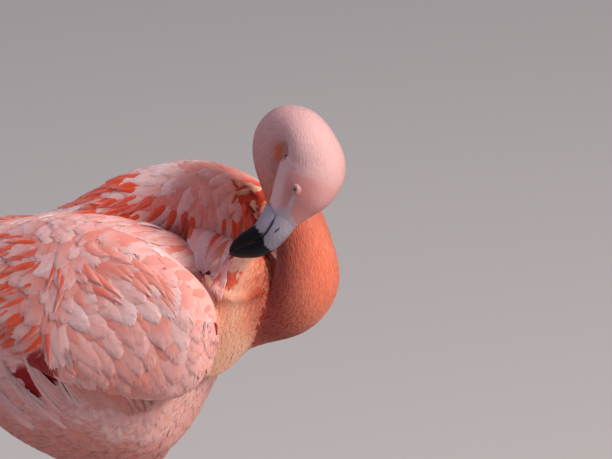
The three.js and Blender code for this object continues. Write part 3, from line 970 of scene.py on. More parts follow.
# %% [markdown]
# ## Wing feathers
#
# The folded wings show broad soft feathers, like petals, each with a paler rim. Among them lie
# narrower orange-red ones, most of them at the back of each wing. A fringe of loose barbs sticks
# out past every rim, as a soft feather has no hard edge. On the near wing a gap between the
# lower feathers shows the deep crimson beneath, and pale plumes of the flank rise across it.

# %% Colours of single feathers
def petal_colour(corners, s, w, base, rim, core, rim_width=0.35, rim_share=0.75):
    """Colours of broad feathers: a core along the quill, the base, and a paler rim round the tip; partly
    their own colours, partly painted shade at the root that the feather above overlaps.
    """
    grid = corners.shape[:3]
    along, aside = np.broadcast_to(s[None, :, None], grid), np.broadcast_to(np.abs(w)[None, None, :], grid)
    edge = np.maximum(smooth(along, 1 - rim_width, 1), smooth(aside, 0.5, 1.0) * smooth(along, 0.3, 0.7))
    base, rim, core = (np.atleast_2d(one)[:, None, None, :] for one in (base, rim, core))
    quill = smooth(1 - aside, 0.55, 1.0) * (1 - smooth(along, 0.55, 0.95)) * 0.5
    colour = base + (core - base) * quill[..., None]
    return colour + (rim - colour) * (edge * rim_share)[..., None]


def coloured(vanes, roots, look, barbs=None):
    """Groups of a piece: vanes in their colours, and loose barbs (count, reach, width, seed, start)."""
    corners, s, w = vanes
    colour = petal_colour(corners, s, w, *look)
    groups = [(corners, *roots, colour)]
    if barbs:
        groups.append(fringe(corners, colour, *roots, *barbs))
    return groups


def varied(rng, count, *kinds):
    """One colour for each feather, picked from (share, colour, colour) kinds and mixed within them."""
    shares = np.cumsum([kind[0] for kind in kinds])
    pick = np.searchsorted(shares / shares[-1], rng.uniform(0, 1, count))
    first, second = (np.array([kind[column] for kind in kinds])[pick] for column in (1, 2))
    return mix(first, second, rng.uniform(0, 1, count))


# %% Round places where the plumage differs
def near_any(points, places):
    """How close points lie to the nearest of some places (x, y, z, radius): 1 within, 0 beyond."""
    share = np.zeros(points.shape[:-1])
    for x, y, z, radius in places:
        away = np.linalg.norm(points - np.array([x, y, z]), axis=-1)
        share = np.maximum(share, 1 - smooth(away, 0.75 * radius, 1.25 * radius))
    return share


def clear(corners, places):
    """Folds up the vanes that would lie across some places."""
    _, rows, columns, _ = corners.shape
    across = near_any(corners[:, rows // 2:, columns // 2], places).max(1) > 0.4
    corners[across] = corners[across][:, :1, :1]


# many orange-red feathers
STREAKED = {
    "right": [(-60, -80, 690, 34), (-75, -90, 660, 34), (-48, -100, 626, 26), (-85, -100, 600, 28),
              (19, -82, 712, 16), (-130, -70, 650, 45), (-190, -50, 640, 40), (-30, -75, 711, 14),
              (24, -68, 725, 15), (70, -81, 709, 14), (43, -83, 706, 13), (-4, -84, 702, 15)],
    "left": [(14, 40, 714, 40), (13, 42, 680, 34), (66, 49, 675, 36), (60, 45, 712, 22),
             (-60, 45, 735, 40), (-130, 45, 700, 42), (-40, 90, 700, 40), (-150, 80, 640, 40),
             (128, 50, 728, 22)],
}
# gaps that show what lies under the feathers, and the colour they show
GAPS = {
    "right": [(-46, -95, 556, 24), (-66, -88, 536, 22), (-30, -95, 542, 18), (-36, -102, 576, 15)],
    "left": [(137, 50, 740, 15)],
}
GAP_COLOURS = {"right": CRIMSON, "left": np.array([0.55, 0.05, 0.02])}
# the broad feathers are warmer here
GLOWING = {"right": [(-70, -95, 575, 45), (60, -113, 600, 40)], "left": [(122, 50, 728, 42)]}
PARTING = (-2, -84, 700, 46)  # here the feathers of the near wing part

# %% Which way the wing feathers lie
DOWN = np.array([0.0, 0.0, -1.0])
CRESTWARDS = unit(np.array([-1.0, -0.3, -0.1]))  # along the top edge of a wing, and a little inwards
HUB = (3, 566)  # x and z of the middle round which the near wing's front feathers turn


def parted_flow(back_from, down_at, front_from, back, front):
    """Back behind one place along the body, straight down at another, and its own way in front."""

    def way(points, t, a):
        x = points[..., 0]
        behind = 1 - smooth(x, back_from, down_at)[..., None]
        ahead = smooth(x, down_at, front_from)[..., None]
        direction = DOWN * (1 - behind) * (1 - ahead) + back(points) * behind + front(points) * ahead
        on_crest = smooth(np.sin(a), 0.72, 0.97)[..., None] * (1 - smooth(t, 0.6, 0.8))[..., None]
        direction = direction * (1 - on_crest) + CRESTWARDS * on_crest
        limit = np.stack([1 - smooth(x, 95, 140), np.ones_like(x), np.ones_like(x)], -1)
        return unit(np.where(direction > 0, direction * limit, direction) + DOWN * 0.04)

    return way


def leaning(x, z):
    """One direction in the plane of the wing."""
    return lambda points: np.broadcast_to(unit(np.array([x, 0.0, z])), points.shape)


def round_hub(points):
    """Clockwise round the hub, seen from the bird's right."""
    x, z = HUB
    return unit(np.stack([points[..., 2] - z, 0 * points[..., 0], x - points[..., 0]], -1))


def backwards(points):
    """Back along the crest of the near wing, and more and more down below it."""
    down = -0.2 - 0.6 * (1 - smooth(points[..., 2], 640, 705))
    return unit(np.stack([-np.ones_like(down), np.zeros_like(down), down], -1))


wing_flows = {
    "right": parted_flow(-62, -18, 28, backwards, round_hub),
    "left": parted_flow(-10, 95, 140, leaning(-1, -0.36), leaning(0, -1)),
}

# %% The broad pale feathers of a wing
# half width and spacing in millimetres: the near wing's look broader
BREADTH = {"right": (13.0, 15.0), "left": (7.5, 9.5)}


def even(value):
    """The same value at every place."""
    return lambda points, t, a: np.full(len(t), float(value))


def wing_spacing(name, share=1.0):
    """Small feathers at the wrist, wider apart behind it."""
    return lambda points, t, a: (8 + (BREADTH[name][1] - 8) * smooth(t, 0.02, 0.16)) * share


def on_top(points, t, a):
    """Not where the trunk covers the wing."""
    return ~buried(points, 6)


def broad_look(name, roots, rng):
    """Base, rim and core of the broad feathers, by the place of their roots."""
    count = len(roots)
    warmth = bumpy(roots, 90, 31)
    behind = 1 - smooth(roots[:, 0], -60, 60)
    base = varied(rng, count, (0.4, PALE, PINK), (0.4, PINK, ROSE), (0.2, PALE, FACE))
    base = mix(base, PALE, 0.30 * warmth)
    rim = mix(mix(PALE, WHITE, rng.uniform(0, 0.6, count)), base, 0.15 + 0.25 * (1 - behind))
    calm = (1 - smooth(roots[:, 2], 630, 680)) * smooth(roots[:, 0], -60, 0) * 0.6
    base, rim = mix(base, mix(PALE, PINK, 0.7 * warmth), calm), mix(rim, PINK, calm)
    if name == "right":
        # the near wing's rear feathers are darker: partly their own deeper rose, partly painted shade
        rear = 1 - smooth(roots[:, 0], -50, -5)
        base = mix(base, ROSE * 0.75, 0.75 * rear * rng.uniform(0.3, 1, count))
    else:
        # the far wing's feathers are paler: partly their own pale colour, partly painted light against the
        # neck's shade
        base, rim = mix(base, WHITE, 0.35), mix(rim, WHITE, 0.5)
    glow = near_any(roots, GLOWING[name]) * rng.uniform(0.3, 1, count)
    base, rim = mix(base, SALMON, 0.7 * glow), mix(rim, PINK, 0.7 * glow)
    core = mix(base, mix(ROSE, SALMON, rng.uniform(0, 1, count)), 0.8)
    return base, rim, core, 0.6, 0.85


def broad_feathers(name, side):
    """The petals that cover a wing."""
    form = wings[name]
    t, a = scatter(form, wing_spacing(name), 11 + side, 0.01, 0.95, on_top)
    rng = np.random.default_rng(21 + side)
    grown, rear = smooth(t, 0.02, 0.2), smooth(t, 0.6, 0.85)
    length = (25 + 29 * grown + 14 * rear) * rng.uniform(0.8, 1.25, len(t))
    width = (7 + (BREADTH[name][0] - 7) * grown - 2 * rear) * rng.uniform(0.75, 1.25, len(t))
    lift = form.coat(t) * rng.uniform(0.58, 0.65, len(t))
    vanes = lay(form, t, a, wing_flows[name], length, width, lift, 9, 6, 31 + side, yaw=0.13, fray=0.05,
                puff=0.03, wave=0.03, droop=0.42)
    clear(vanes[0], GAPS[name])
    look = broad_look(name, form.skin(t, a), rng)
    return coloured(vanes, bake_place(t, a), look, (22, 7.0, 1.1, 71 + side))


# %% The short feathers beneath them
def under_feathers(name, side):
    """A dense layer that closes what the broad ones leave open, deep red in the gaps."""
    form = wings[name]
    t, a = scatter(form, wing_spacing(name, 0.7), 91 + side, 0.005, 0.97, on_top)
    grown = smooth(t, 0.02, 0.2)
    corners, _, _ = lay(form, t, a, wing_flows[name], 12 + 20 * grown, 4 + 3 * grown, form.coat(t) * 0.4,
                        5, 4, 95 + side, yaw=0.15, fray=0.1, puff=0.03)
    under = mix(PINK, ROSE, 0.5 * bumpy(form.skin(t, a), 50, 33))
    wide = [(x, y, z, 1.45 * radius) for x, y, z, radius in GAPS[name]]
    colour = mix(under[:, None, None, :], GAP_COLOURS[name], near_any(corners, wide))
    return [(corners, *bake_place(t, a), colour)]


# %% Feathers that only one wing has
def tuft_feathers():
    """Small pointed feathers, red and cream, that stand about in the far wing's gap."""
    form = wings["left"]
    t, a = scatter(form, even(5), 105, 0.1, 0.6, lambda points, t, a: near_any(points, GAPS["left"]) > 0.3)
    rng = np.random.default_rng(106)
    vanes = lay(form, t, a, wing_flows["left"], rng.uniform(12, 22, len(t)), rng.uniform(2.2, 4.0, len(t)),
                form.coat(t), 5, 4, 107, outline=pointed, yaw=0.45, fray=0.15, puff=0.1)
    base = varied(rng, len(t), (0.3, CRIMSON, EMBER), (0.4, EMBER, STREAK), (0.3, SALMON, PEACH))
    return coloured(vanes, bake_place(t, a), (base, mix(base, SALMON, 0.4), base), (12, 5.0, 0.8, 108))


def parting_feathers():
    """Feathers of middle size that cover the place where the near wing's feathers part."""
    form = wings["right"]
    t, a = scatter(form, even(9), 101, 0.1, 0.9, lambda points, t, a: near_any(points, [PARTING]) > 0.3)
    rng = np.random.default_rng(103)
    vanes = lay(form, t, a, wing_flows["right"], 30, 9, form.coat(t) * 0.55, 6, 4, 102, yaw=0.25,
                fray=0.1, puff=0.03)
    base = varied(rng, len(t), (0.6, PALE, PINK), (0.4, PINK, ROSE))
    look = (base, PALE, mix(base, ROSE, 0.5), 0.6, 0.7)
    return coloured(vanes, bake_place(t, a), look, (14, 5.0, 0.9, 104))


# %% The narrow orange-red feathers
STREAK_PROUD = {"right": 0.78, "left": 1.1}  # how high they lie, as a share of the coat's depth


def streak_feathers(name, side):
    """Lance-shaped bright feathers; along the near wing's crest they are broader and softer in colour."""
    form = wings[name]

    def spacing(points, t, a):
        return 48 - 39.5 * near_any(points, STREAKED[name])

    def in_streaks(points, t, a):
        return on_top(points, t, a) & (near_any(points, STREAKED[name]) > 0.12)

    t, a = scatter(form, spacing, 41 + side, 0.06, 0.92, in_streaks)
    rng = np.random.default_rng(51 + side)
    length = rng.uniform(40, 68, len(t))
    crest = smooth(form.skin(t, a)[:, 0], -40, 30) if name == "right" else 0 * t
    width = rng.uniform(3.2, 5.8, len(t)) + 3.2 * crest
    lift = form.coat(t) * rng.uniform(0.95, 1.08, len(t)) * STREAK_PROUD[name]
    vanes = lay(form, t, a, wing_flows[name], length, width, lift, 8, 4, 61 + side, outline=pointed,
                yaw=0.13, fray=0.12, puff=0.10, wave=0.12)
    clear(vanes[0], GAPS[name])
    base = mix(STREAK, PINK, rng.uniform(0, 0.6, len(t)) ** 2)
    base = mix(base, mix(SALMON, PINK, rng.uniform(0.5, 0.95, len(t))), 0.9 * crest)
    look = (base, mix(base, PALE, 0.6), mix(STREAK, base, 0.85 * crest), 0.4)
    return coloured(vanes, bake_place(t, a), look, (8, 4.5, 0.9, 81 + side))


# %% Feathers of both wings
coat_pieces = {}
for name, side in SIDES.items():
    groups = broad_feathers(name, side) + under_feathers(name, side)
    groups += tuft_feathers() if name == "left" else parting_feathers()
    groups += streak_feathers(name, side)
    coat_pieces["wing_" + name] = vane_piece("wing_feathers_" + name, groups, vane_finish)

# %% [markdown]
# ## Body feathers
#
# Breast, flanks, belly and thighs carry smaller, softer feathers. Between the wings, on the back,
# they are as broad as those of the wings and have orange-red ones among them. One function lays
# them all: it scatters roots, leaves out those inside the body, lays the vanes and colours them.

# %% Soft feathers over any form
def soft_feathers(form, flow, spacing, length, width, seed, colour_of, start=0.0, end=1.0,
                  column=0, columns=1, rows=5, across=4, bury=5.0, lift=0.8, sink=0.4, barbs=0,
                  barb_reach=4.0, keep=None, gaps=(), **shape):
    """Groups of soft feathers over a form: the vanes, and their loose barbs if there are any."""

    def wanted(points, t, a):
        return ~buried(points, bury) & (keep(points, t, a) if keep else True)

    t, a = scatter(form, spacing, seed, start, end, wanted)
    rng = np.random.default_rng(seed + 1)
    size = rng.uniform(0.8, 1.2, len(t))
    roots = form.skin(t, a)
    shape = {"yaw": 0.16, "fray": 0.12, "wave": 0.15, "puff": 0.12, **shape}
    vanes = lay(form, t, a, flow, length(roots, t, a) * size, width(roots, t, a) * size,
                form.coat(t) * lift, rows, across, seed + 2, sink=sink, **shape)
    clear(vanes[0], gaps)
    look = colour_of(vanes[0][:, 0, 0], t, rng)
    loose = (barbs, barb_reach, 0.8, seed + 3) if barbs else None
    return coloured(vanes, bake_place(t, a, column, columns), look, loose)


# %% Belly, back and thighs
def body_colour(roots, t, rng):
    """Pale pink, darker and redder below as painted shade, with paler rims."""
    # painted shade: darker towards the bottom of the belly and the thighs
    below = 1 - smooth(roots[:, 2], 440, 570)
    warmth = 0.3 * bumpy(roots, 60, 8) * rng.uniform(0.4, 1, len(roots))
    base = mix(mix(PALE, PINK, 0.25 + 0.6 * below + warmth), ROSE * 0.6, 0.75 * below)
    return base, mix(base, PALE, 0.3), ROSE, 0.4


def body_size(belly, flank):
    """A size that grows from the belly to the flanks."""
    return lambda points, t, a: belly + (flank - belly) * smooth(points[:, 2], 420, 520) * (
        1 - smooth(points[:, 0], 70, 115))


ATLAS = 5  # columns of the body's bake map: trunk, two thighs, and two for flanks and plumes
body_groups = soft_feathers(
    trunk, steady(-1, 0, -0.42), body_size(6, 8.5), body_size(28, 42), body_size(5, 8), 100, body_colour,
    0.0, 0.97, 0, ATLAS, lift=0.6, puff=0.04, barbs=6, barb_reach=6.0, wave=0.05, gaps=GAPS["right"],
)
for column, form in enumerate(legs.values()):
    body_groups += soft_feathers(
        form, steady(-0.1, 0, -1), even(4.6), even(19), even(3.6), 120 + column, body_colour,
        0.0, THIGH_END - 0.012, 1 + column, ATLAS, lift=0.55, barbs=3,
    )
coat_pieces["body"] = vane_piece("body_feathers", body_groups, down_finish)

# %% Flanks, and the front end of the near wing
def flank_colour(roots, t, rng):
    """Soft pink with a warm glow towards the front."""
    soft = mix(PALE, PINK, rng.uniform(0.2, 0.7, len(t)))
    base = mix(soft, SALMON, 0.12 * smooth(roots[:, 0], 0, 110))
    return base, mix(base, PALE, 0.7), ROSE, 0.5


def round_and_down(points, t, a):
    """Round the hub of the near wing, but more downwards."""
    return unit(round_hub(points) + DOWN * 0.5)


flank_groups = []
for form in wrists.values():
    flank_groups += soft_feathers(
        form, steady(-0.35, -0.1, -1), even(5), even(20), even(5), 190, flank_colour, 0.1, 0.97, 3, ATLAS,
        puff=0.03, bury=2.0, barbs=8, keep=lambda points, t, a: points[:, 0] > 146,
    )
for column, form in enumerate(flanks.values()):
    flank_groups += soft_feathers(
        form, round_and_down, even(9.5), even(42), even(8.5), 170 + column, flank_colour, 0.03, 0.97,
        3 + column, ATLAS, rows=7, puff=0.06, barbs=14, barb_reach=6.0, gaps=GAPS["right"],
    )
coat_pieces["flank"] = vane_piece("flank_feathers", flank_groups, down_finish)

# %% Between the wings
def back_colour(roots, t, rng):
    """Like the wings: pale petals with an orange-red one here and there."""
    base = varied(rng, len(t), (0.5, PALE, PINK), (0.3, PINK, ROSE), (0.2, STREAK, PINK))
    rim = mix(PALE, WHITE, rng.uniform(0, 0.5, len(t)))
    return base, rim, mix(base, SALMON, 0.6), 0.5


def on_back(points, t, a):
    """The strip between the wings."""
    return (points[:, 2] > 630) & (np.abs(points[:, 1]) < 62)


NAPE = [(126, -4, 688, 24)]  # where the neck leaves the back
back_groups = soft_feathers(
    mantle, steady(-0.6, -0.7, -0.2), even(8.5), even(48), even(6.5), 160, back_colour, 0.03, 0.95,
    lift=0.9, barbs=12, barb_reach=6.0, rows=8, across=6, keep=on_back,
)
back_groups += soft_feathers(
    neck_base, steady(0.1, -0.8, -0.45), even(7), even(34), even(6), 165, back_colour, 0.3, 0.9,
    lift=1.3, barbs=12, barb_reach=5.0, rows=7, bury=4.0,
    keep=lambda points, t, a: near_any(points, NAPE) > 0.4,
)
coat_pieces["back"] = vane_piece("back_feathers", back_groups, vane_finish)

# %% [markdown]
# ## Loose plumes
#
# Some feathers don't lie on the body but hang or rise free of it: pale plumes across the crimson
# gap, a hem under each wing, and a few between the far wing and the foot of the neck. Each is a
# vane in a bow from one place past a second to a third. Rays find those places on the skin for the
# plumes and the hem.

# %% Groups of loose vanes
LOOSE_COLUMN = 4  # of the body's bake map


def loose_group(places, half, look, colours, outline, barbs):
    """Bowed vanes and their barbs, coloured from quill to rim."""
    vanes = bowed(places, half, look, outline)
    share = np.linspace(0.1, 0.9, len(places))
    roots = bake_place(share, np.full(len(places), 3.0), LOOSE_COLUMN, ATLAS)
    return coloured(vanes, roots, (*colours, 0.8, 0.8), barbs)


def tapering(s):
    """Half width of a plume: broad at the foot, and then ever narrower."""
    return np.minimum(1, s / 0.2 + 0.3) * (1 - s) ** 0.75


# %% Pale plumes that cross the crimson gap
# each rises from the flank (x, z), bends, and ends in a point; then its half width
PLUMES = [((-62, 486), (-106, 498), (-132, 536), 9), ((-36, 505), (-82, 518), (-98, 558), 10),
          ((-18, 520), (-50, 541), (-58, 590), 10), ((8, 524), (-20, 554), (-24, 606), 12),
          ((34, 542), (2, 570), (-2, 608), 10),
          ((-58, 486), (-84, 492), (-106, 520), 9), ((-16, 500), (-50, 510), (-74, 536), 10),
          ((20, 506), (-8, 522), (-28, 550), 11), ((60, 530), (24, 545), (0, 576), 12)]
STRANDS = 22  # strands in each plume, spread at its foot and gathered at its tip
GATHERED = np.array([1.25, 0.85, 0.12])  # how far they spread at foot, bend and tip
ABOVE_SKIN = np.array([0.5, 3.4, 4.0])  # millimetres at foot, bend and tip

flank_side = (-0.1, -1, 0.1)
feet = np.array([touch(np.array([(x, -95, z) for x, z in plume[:3]]), flank_side, 0.0) for plume in PLUMES])
feet = feet + unit(np.array(flank_side)) * ABOVE_SKIN[None, :, None]
rng = np.random.default_rng(181)
lanes = rng.uniform(-1, 1, (len(PLUMES), STRANDS, 1))
half = np.array([plume[3] for plume in PLUMES])[:, None, None]
spread = (GATHERED * half * lanes)[..., None] * np.array([0.65, 0.0, 0.75])
strands = feet[:, None] + spread + rng.normal(0, 1.0, spread.shape) * np.array([0.8, 0.5, 0.8])
stretch = rng.uniform(-0.35, 0.08, (len(PLUMES), STRANDS, 1))
strands[:, :, 2] += (strands[:, :, 2] - strands[:, :, 1]) * stretch
strands = strands.reshape(-1, 3, 3)
base = mix(PINK, PALE, rng.uniform(0.1, 1.0, len(strands)))
plume_groups = loose_group(strands, rng.uniform(1.3, 2.4, len(strands)), flank_side,
                           (base, mix(base, WHITE, 0.25), mix(base, PINK, 0.8)), tapering,
                           (14, 4.0, 0.7, 180, 0.1))
coat_pieces["body_plumes"] = vane_piece("flank_plumes", plume_groups, vane_finish)

# %% Feathers that hang from the lower edge of each wing over the flank
HEMMED = 84  # feathers tried along each edge; those whose tip would hang free are left out
FREE = 26  # millimetres sideways between root and tip


def hem(side):
    """One wing's hem."""
    rng = np.random.default_rng(190 + side)
    along = np.linspace(-4, 128, HEMMED) + rng.normal(0, 4, HEMMED)
    top = np.stack([along, np.full(HEMMED, side * 100.0), 586 + rng.uniform(-16, 10, HEMMED)], -1)
    drop = np.stack([(14 + rng.normal(0, 5, HEMMED)) * (1 - smooth(along, 20, 80)), 0 * along,
                     -rng.uniform(34, 54, HEMMED)], -1)
    outside = (0.0, side, 0.1)
    heads, tips = touch(top, outside, 1.0), touch(top + drop, outside, 2.5)
    lying = np.abs(heads - tips)[:, 1] < FREE
    heads, tips = heads[lying], tips[lying]
    bends = (heads + tips) / 2 + np.array([0, side * 3.5, 1.5])
    # painted shade: darker kinds, and the hem darkens towards its low tips under the wing
    kind = varied(rng, len(heads), (0.3, PALE, PINK), (0.5, PINK, ROSE), (0.2, ROSE, ROSE * 0.7))
    kind = mix(kind, ROSE * 0.8, 0.75 * (1 - smooth(tips[:, 2], 520, 575)))
    return loose_group(np.stack([heads, bends, tips], 1), rng.uniform(6, 9, len(heads)), outside,
                       (kind, mix(kind, PALE, 0.4), mix(kind, ROSE, 0.6)), rounded,
                       (40, 6.0, 0.7, 194 + side, 0.4))


hem_groups = [group for side in SIDES.values() for group in hem(side)]
coat_pieces["body_hem"] = vane_piece("wing_hem_feathers", hem_groups, vane_finish)

# %% Feathers that hang from the far wing over the foot of the neck
HANGING = 22
rng = np.random.default_rng(185)
run = np.linspace(0, 1, HANGING)
heads = np.stack([66 + 50 * run, np.full(HANGING, 49.0), 694 - 3 * run], -1)
heads += rng.normal(0, 2.5, heads.shape)
tips = np.stack([92 + 34 * run, 2 - 24 * run, 668 + 15 * run], -1)
tips += rng.normal(0, 3, tips.shape)
bends = (heads + tips) / 2 + np.array([0, -5, 5])
kind = varied(rng, HANGING, (0.4, PALE, FACE), (0.3, STREAK, SALMON), (0.3, PALE, PINK))
hanging_groups = loose_group(np.stack([heads, bends, tips], 1), rng.uniform(5.5, 8.5, HANGING),
                             (0.38, -0.8, 0.46), (kind, mix(kind, PALE, 0.75), mix(kind, ROSE, 0.5)),
                             rounded, (50, 5.0, 0.7, 186, 0.4))
coat_pieces["back_hanging"] = vane_piece("hanging_feathers", hanging_groups, vane_finish)

# %% Tail feathers
def tail_colour(roots, t, rng):
    """Pink, paler at the rim."""
    return mix(PALE, PINK, rng.uniform(0.2, 0.9, len(roots))), PALE, ROSE, 0.2


tail_groups = soft_feathers(
    tail, steady(-1, 0, -0.3), even(10), even(58), even(9), 140, tail_colour, 0.0, 0.46, lift=1.0,
    yaw=0.08, rows=7, guard=80.0, barbs=12, barb_reach=5.0, snug=False,
)
coat_pieces["tail"] = vane_piece("tail_feathers", tail_groups, vane_finish)

# %% [markdown]
# ## Neck and head feathers
#
# The neck is covered by short narrow feathers that lie like velvet, and on the head they are
# smaller still. Towards the bill the skin is bare, and a bare pale stripe runs from the bill to
# the eye. The neck is orange below and pale above, with painted shade of deep red on its side
# towards the breast, so its colour is worked out from the place along it and the place in space.

# %% The colours of the neck and the head
GLOW = np.array([0.86, 0.17, 0.05])  # the orange deep in the bend of the neck
GLOW_PLACES = [(198, -4, 839, 6), (195, 0, 832, 6), (192, 3, 825, 5)]
# painted shade: deep red where the lower neck faces the breast, and on the breast's edge beside it
PAINTED_SHADE = np.array([0.27, 0.018, 0.008])  # the deep red of the side of the neck that touches the breast
LORES = np.array([0.42, 0.35, 0.40])  # bare skin before the eye
# where the feathers of the face end: (crownward, forward) from the root of the bill
FEATHER_LINE = [(-44, 2), (-40, 0), (-30, -5), (-20, -9), (-12, -13), (-4, -13.5), (0, -9), (3.6, 1), (12, 8)]
FACE_START = 0.8  # t along the neck
EYE_FORWARD, EYE_CROWNWARD = -40, 2.6  # of the eye's middle, from the root of the bill


def bare_skin(points):
    """1 where the face is bare: round the root of the bill, and on a stripe from there to the eye."""
    forward, crownward, _ = head_place(points)
    line = np.interp(crownward, *np.transpose(FEATHER_LINE))
    across = np.abs(crownward - 3.0 + 0.33 * (forward + 34.7))
    stripe = (1 - smooth(across, 0.9, 2.6 + 0.06 * (forward + 34))) * smooth(forward, -37, -33)
    return np.maximum(smooth(forward - line, -0.8, 0.8), stripe * (1 - smooth(forward, -8, 0)))


def neck_tint(points, t):
    """Colour of the neck and head at places on them, with painted shade on the lower neck's side towards the
    breast.
    """
    low = mix(SALMON, EMBER, 0.5 * (1 - smooth(t, 0.0, 0.16)) + 0.25 * bumpy(points, 40, 12))
    high = mix(FACE, BLUSH, 0.25 + 0.35 * bumpy(points, 60, 14))
    colour = mix(low, high, smooth(t + 0.06 * (bumpy(points, 30, 15) - 0.5), 0.30, 0.56))
    # painted shade: the lower neck's side towards the breast is darkened to deep red
    inner = (1 - smooth(points[..., 0], 203, 254)) * smooth(t, 0.04, 0.12) * (1 - smooth(t, 0.26, 0.4))
    colour = mix(colour, PAINTED_SHADE, 0.95 * inner)
    on_face = smooth(t, FACE_START - 0.02, FACE_START + 0.04)
    forward, crownward, _ = head_place(points)
    blush = smooth(forward, -66, -46) * smooth(crownward, -22, -8) * (1 - 0.5 * smooth(crownward, 16, 30))
    from_eye = np.hypot(forward - EYE_FORWARD, crownward - EYE_CROWNWARD)
    colour = mix(colour, BLUSH, 0.9 * np.maximum(blush, 1 - smooth(from_eye, 9, 24)) * on_face)
    colour = mix(colour, GLOW, 0.8 * near_any(points, GLOW_PLACES))
    return mix(colour, LORES, 0.85 * bare_skin(points) * on_face)


# %% Feathers of the neck and head
def neck_colour(roots, t, rng):
    """The neck's colour at the root, a little paler to the tip."""
    spread = 0.10 * (1 - 0.6 * smooth(t, 0.5, 0.7))
    base = neck_tint(roots, t) * (1 + rng.uniform(-1, 1, (len(roots), 1)) * spread[:, None])
    return base, mix(base, PALE, 0.2), base * 0.9, 0.4


def neck_feathers(start, end, spacing, length, width, seed, rows, puff):
    """Short feathers along a stretch of the neck."""
    return soft_feathers(
        neck, against(neck_path), even(spacing), even(length), even(width), seed, neck_colour, start, end,
        rows=rows, across=2, yaw=0.11, bury=3.5, lift=0.3, outline=pointed, sink=0.15, puff=puff, wave=0.03,
        guard=5.0, keep=lambda points, t, a: bare_skin(points) * (t > FACE_START) < 0.5,
    )


neck_groups = neck_feathers(0.02, 0.32, 2.1, 11, 1.35, 200, 3, 0.04)
neck_groups += neck_feathers(0.32, 0.66, 1.8, 9, 1.0, 210, 3, 0.05)
coat_pieces["neck"] = vane_piece("neck_feathers", neck_groups, short_finish)
head_groups = neck_feathers(0.66, 0.80, 1.6, 6, 0.8, 220, 2, 0.06)
head_groups += neck_feathers(0.80, 0.985, 1.25, 4.2, 0.62, 230, 2, 0.05)
coat_pieces["head"] = vane_piece("head_feathers", head_groups, short_finish)

# %% Feathers of the breast
RED_TUFTS = [(154, -30, 686, 13), (163, -36, 697, 6), (146, -17, 696, 6)]


def breast_tint(points, orange):
    """Peach mixed with orange, redder towards the neck, with painted shade of deep red beside it, and a red
    tuft or two.
    """
    base = mix(PEACH, SALMON, np.maximum(orange, 0.8 * smooth(points[:, 0], 162, 180)))
    # painted shade: the breast's edge next to the neck darkens to deep red
    base = mix(base, PAINTED_SHADE, 0.85 * smooth(points[:, 0], 172, 188))
    return mix(base, STREAK, near_any(points, RED_TUFTS))


def breast_colour(roots, t, rng):
    """Peach, in bands that follow the rows."""
    banded = 0.5 + 0.5 * np.sin(roots[:, 2] * 0.75 + 2 * bumpy(roots, 40, 19))
    base = breast_tint(roots, 0.03 + 0.16 * banded * rng.uniform(0.3, 1, len(roots)))
    return base, mix(base, PEACH, 0.4), base * 0.95, 0.35


breast_groups = soft_feathers(
    neck_base, against(breast_path), even(3.0), even(13), even(2.3), 240, breast_colour, 0.0, 0.97,
    rows=3, across=2, lift=0.5, puff=0.08, wave=0.05, guard=20.0,
)
coat_pieces["breast"] = vane_piece("breast_feathers", breast_groups, short_finish)

# %% Colour the skin like the plumage over it
NECK_REACH = 44  # millimetres from the neck's path to where the trunk begins
BLOCK = 20000  # corners measured at a time, to spare memory


def nearest_on_neck(points):
    """The t of the nearest place on the neck's path, and its distance."""
    steps = np.linspace(0, 1, 301)
    middle = neck_path(steps)
    t, distance = np.empty(len(points)), np.empty(len(points))
    for start in range(0, len(points), BLOCK):
        part = slice(start, start + BLOCK)
        gap = np.linalg.norm(points[part][:, None, :] - middle[None], axis=-1)
        t[part], distance[part] = steps[gap.argmin(1)], gap.min(1)
    return t, distance


def skin_tint(points):
    """The colour of the form that lies nearest."""
    x, y, z = points.T
    colour = mix(PALE, PINK, 0.4 + 0.4 * bumpy(points, 60, 8))
    t, distance = nearest_on_neck(points)
    on_neck = (distance < NECK_REACH) & (x > 120) & ((t > 0.12) | (x > 175))
    colour[on_neck] = neck_tint(points[on_neck], t[on_neck])
    on_breast = ~on_neck & (x > 118) & (np.abs(y) < 60) & (z > 540)
    colour[on_breast] = breast_tint(points[on_breast], 0.1)
    for name, places in GAPS.items():
        colour = mix(colour, GAP_COLOURS[name], near_any(points, places))
    colour[on_neck & (t > 0.985)] = LORES
    return colour


write_tint(skin, skin_tint(layout_points(skin)))
skin.data.materials.append(
    tinted_material("skin under the plumage", 0.75, 0.25, 700, specular=0.2, detail=2, depth=0.0004))

# %% [markdown]
# ## Bill
#
# The bill is bent sharply down in its middle. The upper jaw is a shallow lid and the lower jaw a
# deep trough, and they meet in a line that is bent as well. Each jaw is a loft between two lines
# in the plane of the head. The base is pale grey and the outer half black, with a ragged border,
# so the colour is decided corner by corner from the distance beyond that border.

# %% Make the two jaws
def head_line(*points):
    """A curve in the plane of the head, through (forward, crownward) pairs."""
    return curve(*(on_head(*point) for point in points))


CULMEN = head_line((-5, 1.5), (12, -4.5), (25, -10), (38, -17.5), (50, -30), (58.5, -47),
                   (62.5, -60), (63.7, -66.8))
MOUTH = head_line((-5, -18.5), (10, -20.2), (24, -25), (34, -33.5), (42, -44.5), (51, -56),
                  (58, -64), (63, -67.2))
GONYS = head_line((-5, -42), (9, -44.5), (19, -48), (28, -55), (37, -62), (47, -67.5),
                  (56, -69.5), (61.5, -68.8))
BILL_HALF_WIDTH = 12.3
BILL_RINGS = 101
bill_width = profile(1, 0.97, 0.92, 0.86, 0.74, 0.56, 0.38, 0.12)


